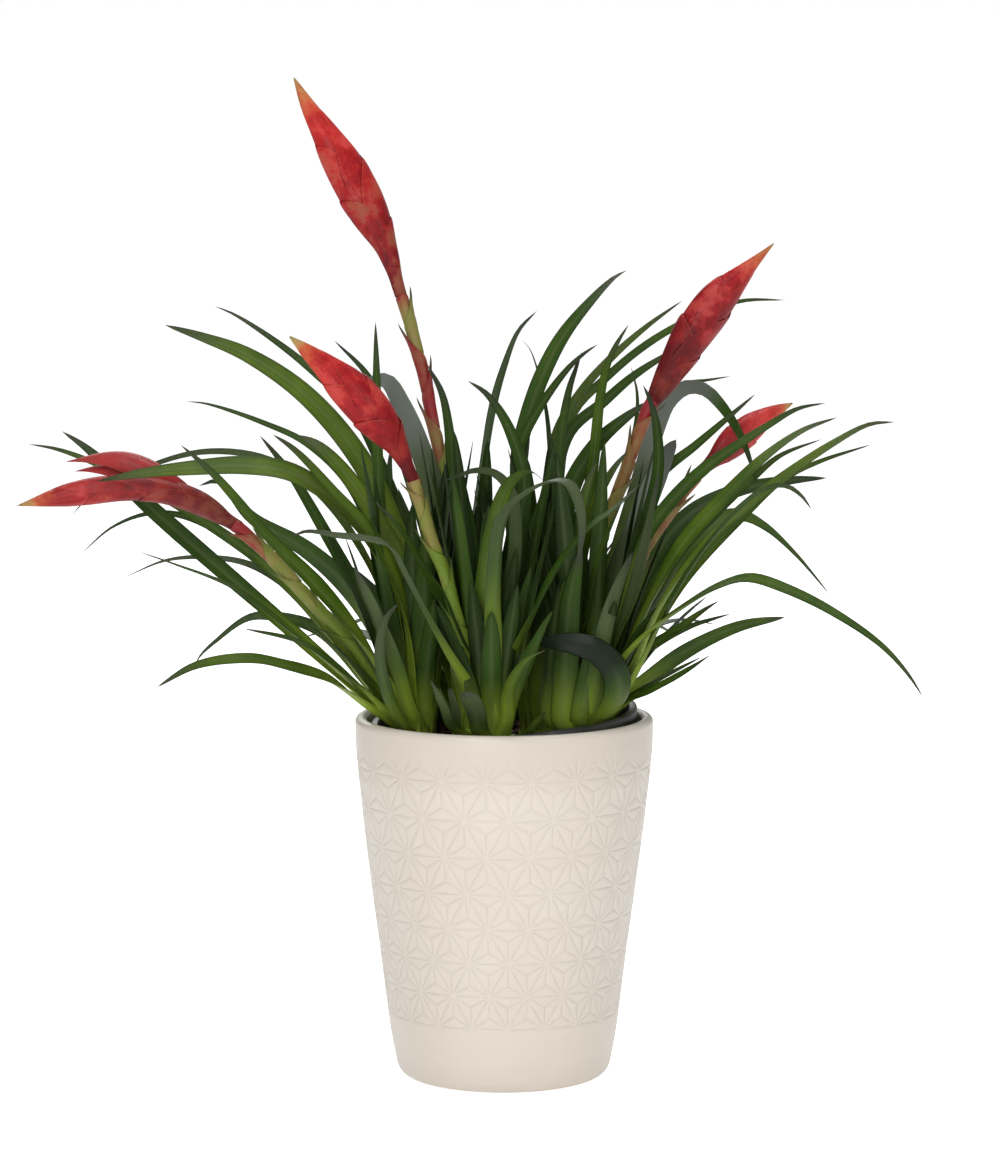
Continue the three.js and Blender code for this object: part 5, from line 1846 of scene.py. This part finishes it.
# --- stalks
@dataclass
class Stalk:
    """A flower stalk clasped by overlapping sheaths.

    The wrap is how far a sheath reaches round each side, in degrees, at its foot and at its tip.
    """

    blank: Blank
    sheath: Blank
    girth: Sequence[float] = (2.1, 1.75, 2.25)
    girth_at: Sequence[float] = (0.0, 0.85, 1.0)
    ring_depth: float = 0.04
    ring_pitch: float = 4.0
    well: float = 100.3
    core_top: float = 123.0
    head_gap: float = 0.6
    first_sheath: float = 0.16
    last_sheath: float = 11.0
    internode: float = 13.0
    sheath_length: float = 25.0
    facing: Place = (1.0, -0.75, 0.0)
    wrap: Span = (172.0, 36.0)
    wrap_ends: Span = (0.3, 0.74)
    reach: float = 2.15
    reach_gain: float = 0.3
    tip_from: Span = (0.5, 1.05)
    tip_lift: float = 2.6
    tip_curve: float = 1.4
    half_thickness: float = 0.13

    def line(self, shoot: Shoot) -> Line:
        """Leads the stalk from its well among the leaves to just short of the head.

        Args:
            shoot: The shoot.

        Returns:
            The stalk's line.
        """
        start, following = (seen(place) for place in shoot.head[:2])
        back = unit(start - following) * self.head_gap
        root = [np.array((*shoot.at, height)) for height in (self.well, self.core_top)]
        return Line([*root, *(seen(place) for place in shoot.stalk), start + back])

    def build(self, shoot: Shoot, finish: Material) -> Body:
        """Grows the stalk.

        Args:
            shoot: The shoot.
            finish: The stalk's finish.

        Returns:
            The stalk and its sheaths as one piece.
        """
        line = self.line(shoot)
        blank = self.blank
        at, _, side, outward = line.frames(blank.stations, np.array((1.0, 0.0, 0.0)))
        row, share = blank.station, blank.share
        girth = np.interp(share, self.girth_at, self.girth)
        girth *= 1 + self.ring_depth * np.sin(line.length * share / self.ring_pitch)
        place = at[row] + side[row] * (girth * blank.across)[:, None]
        place += outward[row] * (girth * blank.face)[:, None]
        leaf = (blank.angle / math.tau + 0.5, 0.3, 0.0)
        parts = [blank.bend("stem", place, leaf, (shoot.redness(share), 0.0, 0.0))]
        start, step, hand = self.first_sheath, self.internode / line.length, -1
        while start * line.length < line.length - self.last_sheath:
            end = min(1.0, start + self.sheath_length / line.length)
            facing = np.array(self.facing) * (hand, 1, 1)
            parts.append(self._clasp(line, (start, end), facing, shoot.redness(start + step / 2)))
            start, hand = start + step, -hand
        return whole(parts, f"flower_stalk_{shoot.name}", finish)

    def _clasp(self, line: Line, stretch: Span, facing: Array, red: float) -> Body:
        """Bends one sheath round the stalk.

        Args:
            line: The stalk's line.
            stretch: Where the sheath starts and ends, as shares of the line.
            facing: The side that it grows on.
            red: How red it is.

        Returns:
            The sheath.
        """
        blank = self.sheath
        start, end = stretch
        row, share = blank.station, np.clip(blank.share, 0, 1)
        foot, tip = self.wrap
        opened = ease(share, *self.wrap_ends)
        wrap = np.radians(foot * (1 - opened) + tip * (1 - share**2) * opened) * blank.across
        lift = self.tip_lift * ease(share, *self.tip_from) ** self.tip_curve
        reach = self.reach + self.reach_gain * share + lift + self.half_thickness * blank.face
        shares = start + (end - start) * blank.stations
        place = wrapped(line, facing, shares, row, wrap, reach)
        return blank.bend("sheath", place, (blank.across / 2 + 0.5, share, 0.0), (red, 0.0, 0.0))


# --- heads
@dataclass
class Head:
    """A flower head: two rows of boat-shaped bracts that overlap round a slim core.

    Each bract is the share of the head where it starts and the share where its tip lies, from the lowest
    bract to the two that close the tip. Sizes are millimetres and layers are shares of the head's girth.
    """

    bract: Blank
    core: Blank
    clasp: float = 4.5
    neck: float = 2.4
    neck_ends: Span = (0.12, 0.3)
    bracts: Sequence[Span] = (
        (0.0, 0.33), (0.02, 0.47), (0.09, 0.6), (0.17, 0.72), (0.28, 0.84), (0.4, 0.94), (0.5, 1.0),
        (0.55, 1.0),
    )
    core_share: float = 0.6
    flat: float = 0.76
    wrap: float = 150.0
    taper: Span = (3.2, 0.85)
    last_taper: float = 0.45
    thickness: float = 0.17
    thinning: float = 0.7
    layer: Sequence[float] = (0.84, 0.15, 0.06)
    layer_spread: float = 0.012
    keel: float = 0.05
    keel_width: float = 0.28
    keel_from: Span = (0.05, 0.4)
    ripple: Span = (0.02, 7.0)
    husks: Span = (0.85, 0.4)
    husks_below: Span = (0.05, 0.2)
    pale_spread: Span = (0.6, 1.3)
    open_facing: Place = (0.0, -0.35, 0.94)
    open_wrap: float = 115.0
    open_girth: Span = (0.55, 0.5)
    open_ripple: Span = (0.03, 6.0)
    open_thickness: float = 0.2
    open_taper: float = 0.6
    # Open bracts' red is darkened a little: painted shade.
    open_painted_shade: float = 0.2
    low_rank: float = 0.3

    def build(self, shoot: Shoot, finish: Material) -> Body:
        """Grows the head.

        Args:
            shoot: The shoot.
            finish: The bracts' finish.

        Returns:
            The head as one piece.
        """
        rng = np.random.default_rng(sum(map(ord, shoot.name)) + 5)
        points = [seen(place) for place in shoot.head]
        line = Line([points[0] + unit(points[0] - points[1]) * self.clasp, *points])
        facing = self._facing(line, shoot.rank)
        parts = [self._core(line, facing, shoot)]
        for k, stretch in enumerate(self.bracts):
            parts.append(self._bract(line, facing * (-1 if k % 2 else 1), shoot, stretch, rng))
        for reach, sheet in shoot.open_bracts:
            parts.append(self._open_bract(Line([seen(place) for place in sheet]), reach, rng))
        return whole(parts, f"flower_head_{shoot.name}", finish)

    @staticmethod
    def _facing(line: Line, rank: float) -> Array:
        """Finds the side that the first row of bracts faces.

        Args:
            line: The head's line.
            rank: How far the rows are turned away from the front, in degrees.

        Returns:
            The direction.
        """
        along = line.along([0.4])[0]
        beside = unit(np.array((along[2], 0.0, -along[0])))
        turn = math.radians(90 - rank)
        return beside * math.cos(turn) + np.cross(along, beside) * math.sin(turn)

    def girth(self, shoot: Shoot, shares: Array) -> Array:
        """Measures a head, which is never thinner at its foot than its stalk.

        Args:
            shoot: The shoot.
            shares: Shares of the head's length.

        Returns:
            Half its width there.
        """
        outline = Line([np.array((share, width, 0.0)) for share, width in shoot.head_form])
        width = shoot.head_radius * np.interp(shares, outline.fine[:, 0], outline.fine[:, 1])
        return np.maximum(width, self.neck * (1 - ease(shares, *self.neck_ends)))

    def _core(self, line: Line, facing: Array, shoot: Shoot) -> Body:
        """Bends the slim core inside the bracts.

        Args:
            line: The head's line.
            facing: The side that the first row of bracts faces.
            shoot: The shoot.

        Returns:
            The core.
        """
        blank = self.core
        at, _, side, outward = line.frames(blank.stations, np.cross(line.along([0.0])[0], facing))
        row, share = blank.station, np.clip(blank.share, 0, 1)
        girth = self.core_share * self.girth(shoot, share) * (1 - share**3)
        place = at[row] + side[row] * (girth * self.flat * blank.across)[:, None]
        place += outward[row] * (girth * blank.face)[:, None]
        return blank.bend("core", place, (0.5, share * 0.5, 0.0), (self.low_rank, shoot.pale, 0.0))

    def _bract(
        self, line: Line, facing: Array, shoot: Shoot, stretch: Span, rng: np.random.Generator
    ) -> Body:
        """Bends one boat-shaped bract.

        Args:
            line: The head's line.
            facing: The side that its keel faces.
            shoot: The shoot.
            stretch: Its start and its tip, as shares of the line.
            rng: The head's random source.

        Returns:
            The bract.
        """
        blank = self.bract
        start, end = stretch
        share = np.clip(blank.share, 0, 1)
        shares = start + (end - start) * blank.stations
        least, rise, bulge = self.layer
        layer = least + rise * share**2 + bulge * np.sin(np.pi * share)
        layer = layer + rng.uniform(-self.layer_spread, self.layer_spread)
        radius = self.girth(shoot, shares[blank.station]) * layer
        fullness, power = self.taper
        taper = np.maximum(0, 1 - share**fullness) ** power if end < 1 else 1 - self.last_taper * share**3
        wrap = math.radians(self.wrap) * taper * blank.across
        oval = 1 / np.hypot(np.cos(wrap), np.sin(wrap) / self.flat)
        keel = self.keel * np.exp(-((wrap / self.keel_width) ** 2)) * ease(share, *self.keel_from)
        size, folds = self.ripple
        ripple = size * np.sin(folds * share + rng.uniform(0, 6)) * np.abs(blank.across)
        thin = 1 - self.thinning * share**2
        radius = radius * (oval + keel + ripple) + self.thickness * blank.face * thin
        lowest, low = self.husks_below
        husk = shoot.husk * (self.husks[0] * (start < lowest) + self.husks[1] * (lowest < start < low))
        pale = shoot.pale * rng.uniform(*self.pale_spread)
        place = wrapped(line, facing, shares, blank.station, wrap, radius)
        leaf = (blank.across / 2 + 0.5, share, shoot.shade)
        return blank.bend("bract", place, leaf, (shares[blank.station], pale, husk))

    def _open_bract(self, line: Line, reach: float, rng: np.random.Generator) -> Body:
        """Bends one bract that has opened, with a broad blunt end.

        Args:
            line: Its own line.
            reach: Half its width.
            rng: The head's random source.

        Returns:
            The bract.
        """
        blank = self.bract
        share = np.clip(blank.share, 0, 1)
        least, bulge = self.open_girth
        radius = reach * (least + bulge * np.sin(np.pi * share**0.8)) * (1 - share**5)
        wrap = math.radians(self.open_wrap) * (1 - self.open_taper * share**2) * blank.across
        size, folds = self.open_ripple
        radius = radius * (1 + size * np.sin(folds * share + rng.uniform(0, 6)))
        radius = radius + self.open_thickness * blank.face
        facing = np.array(self.open_facing)
        place = wrapped(line, facing, blank.stations, blank.station, wrap, radius)
        leaf = (blank.across / 2 + 0.5, share * 0.8, self.open_painted_shade)
        return blank.bend("bract", place, leaf, (self.low_rank, 1.0, 0.0))


# --- stage
@dataclass
class Studio:
    """The floor, the soft light and the camera. Its sizes and places are in metres.

    A glow is how strongly the floor or the sky lights the plant and how bright it is seen. A lamp is its
    name, its place, its width and its power.
    """

    floor_size: float = 400.0
    floor_colour: Colour = (0.9, 0.9, 0.9)
    floor_glow: Span = (0.28, 0.75)
    sky_glow: Span = (0.32, 1.0)
    aim: Place = (0.0, 0.0, 0.15)
    lamps: Sequence[tuple[str, Place, float, float]] = (
        ("key", (-0.6, -1.3, 1.4), 0.7, 9.0),
        ("front", (-0.3, -1.4, 0.35), 0.7, 4.5),
        ("fill", (1.1, -1.2, 0.8), 0.8, 5.0),
        ("top", (0.1, 0.25, 1.5), 0.7, 7.5),
        ("back", (-0.3, 1.5, 0.9), 0.9, 6.0),
    )

    def build(self) -> None:
        """Sets up the studio."""
        self._floor()
        self._world()
        for name, place, size, power in self.lamps:
            data = bpy.data.lights.new(name, "AREA")
            data.size, data.energy = size, power
            self._stand(name, data, Vector(place), Vector(self.aim))
        data = bpy.data.cameras.new("front")
        data.lens, data.sensor_width = LENS, SENSOR
        bpy.context.scene.camera = self._stand("front", data, Vector(EYE * MM), Vector(AIM * MM))
        bpy.context.scene.view_settings.view_transform = "Standard"

    @staticmethod
    def _backdrop(nodes: Nodes, glow: Span) -> Socket:
        """A glow that lights the plant at its first strength and is seen at its second."""
        return nodes.span(nodes.node("ShaderNodeLightPath").outputs["Is Camera Ray"], 0, 1, glow)

    def _floor(self) -> None:
        """A plain pale floor."""
        select()
        bpy.ops.mesh.primitive_plane_add(size=self.floor_size, location=(0, 0, 0))
        floor = bpy.context.object
        floor.name = "floor"
        material = bpy.data.materials.new("pale_floor")
        material.use_nodes = True
        nodes = Nodes(material.node_tree)
        feeds = {
            "Base Color": self.floor_colour,
            "Roughness": 0.9,
            "Specular IOR Level": 0.1,
            "Emission Color": (1.0, 1.0, 1.0),
            "Emission Strength": self._backdrop(nodes, self.floor_glow),
        }
        shader = nodes.node("ShaderNodeBsdfPrincipled", feeds)
        nodes.node("ShaderNodeOutputMaterial", {"Surface": shader.outputs[0]})
        floor.data.materials.append(material)

    def _world(self) -> None:
        """Even white light from all sides, brighter where it is the backdrop."""
        world = bpy.context.scene.world or bpy.data.worlds.new("studio")
        bpy.context.scene.world = world
        world.use_nodes = True
        nodes = Nodes(world.node_tree)
        feeds = {"Color": (1.0, 1.0, 1.0), "Strength": self._backdrop(nodes, self.sky_glow)}
        sky = nodes.node("ShaderNodeBackground", feeds)
        nodes.node("ShaderNodeOutputWorld", {"Surface": sky.outputs[0]})

    @staticmethod
    def _stand(name: str, data: bpy.types.ID, place: Vector, aim: Vector) -> Body:
        """Stands a lamp or a camera in the scene.

        Args:
            name: Its name.
            data: The lamp or the camera.
            place: Where it stands.
            aim: What it points at.

        Returns:
            Its object.
        """
        obj = bpy.data.objects.new(name, data)
        bpy.context.scene.collection.objects.link(obj)
        obj.location = place
        obj.rotation_euler = (aim - place).to_track_quat("-Z", "Y").to_euler()
        return obj


# --- assembly
GLAZE = CreamGlaze("cream_glaze", "glaze", roughness=0.36, coat=0.25, coat_roughness=0.22)
PLASTIC = BlackPlastic("black_plastic", "plastic", roughness=0.42)
PEAT = Peat("damp_peat", "soil", roughness=0.92, specular=0.25)
LEAF = LeafGreen("strap_leaf", "leaf", roughness=0.38, specular=0.16)
STALK = StalkGreen("stalk_sheaths", "stalk", roughness=0.45, specular=0.3)
BRACT = BractRed("waxy_bract", "bract", roughness=0.38, specular=0.16, coat=0.09, coat_roughness=0.22)


def settle(piece: Body, finish: Finish, *nodes: str) -> None:
    """Puts a finished piece on the part's body, in place of the solids that it stands for.

    Args:
        piece: The piece.
        finish: Its finish; not used.
        *nodes: The names of the solids.
    """
    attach(piece, "root")
    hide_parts(*nodes)
    LOG.info("%s stands for %s: %d faces", piece.name, ", ".join(nodes), len(piece.data.polygons))


def main() -> None:
    """Builds the plant, its pots and the studio."""
    logging.basicConfig(level=logging.INFO, format="%(message)s")
    Effects().build()
    glaze, plastic, peat, leaf, stalk, bract = (
        finish.build() for finish in (GLAZE, PLASTIC, PEAT, LEAF, STALK, BRACT)
    )
    tub = NurseryPot()
    settle(CarvedPot().build(glaze), GLAZE, "pot")
    settle(tub.build(plastic), PLASTIC, "nursery_pot")
    settle(Soil().build(tub, SHOOTS, peat), PEAT, "soil")
    rosette = Rosette(Blank("leaf_blank", ring=16, stations=54))
    stem = Stalk(Blank("stalk_blank", ring=16, stations=60), Blank("sheath_blank", ring=16, stations=14))
    head = Head(Blank("bract_blank", ring=24, stations=22), Blank("core_blank", ring=16, stations=24))
    for shoot in SHOOTS:
        settle(rosette.build(shoot, leaf), LEAF, f"rosette_{shoot.name}")
        settle(stem.build(shoot, stalk), STALK, f"stalk_{shoot.name}")
        settle(head.build(shoot, bract), BRACT, f"spike_{shoot.name}")
    Studio().build()


if __name__ == "__main__":
    main()
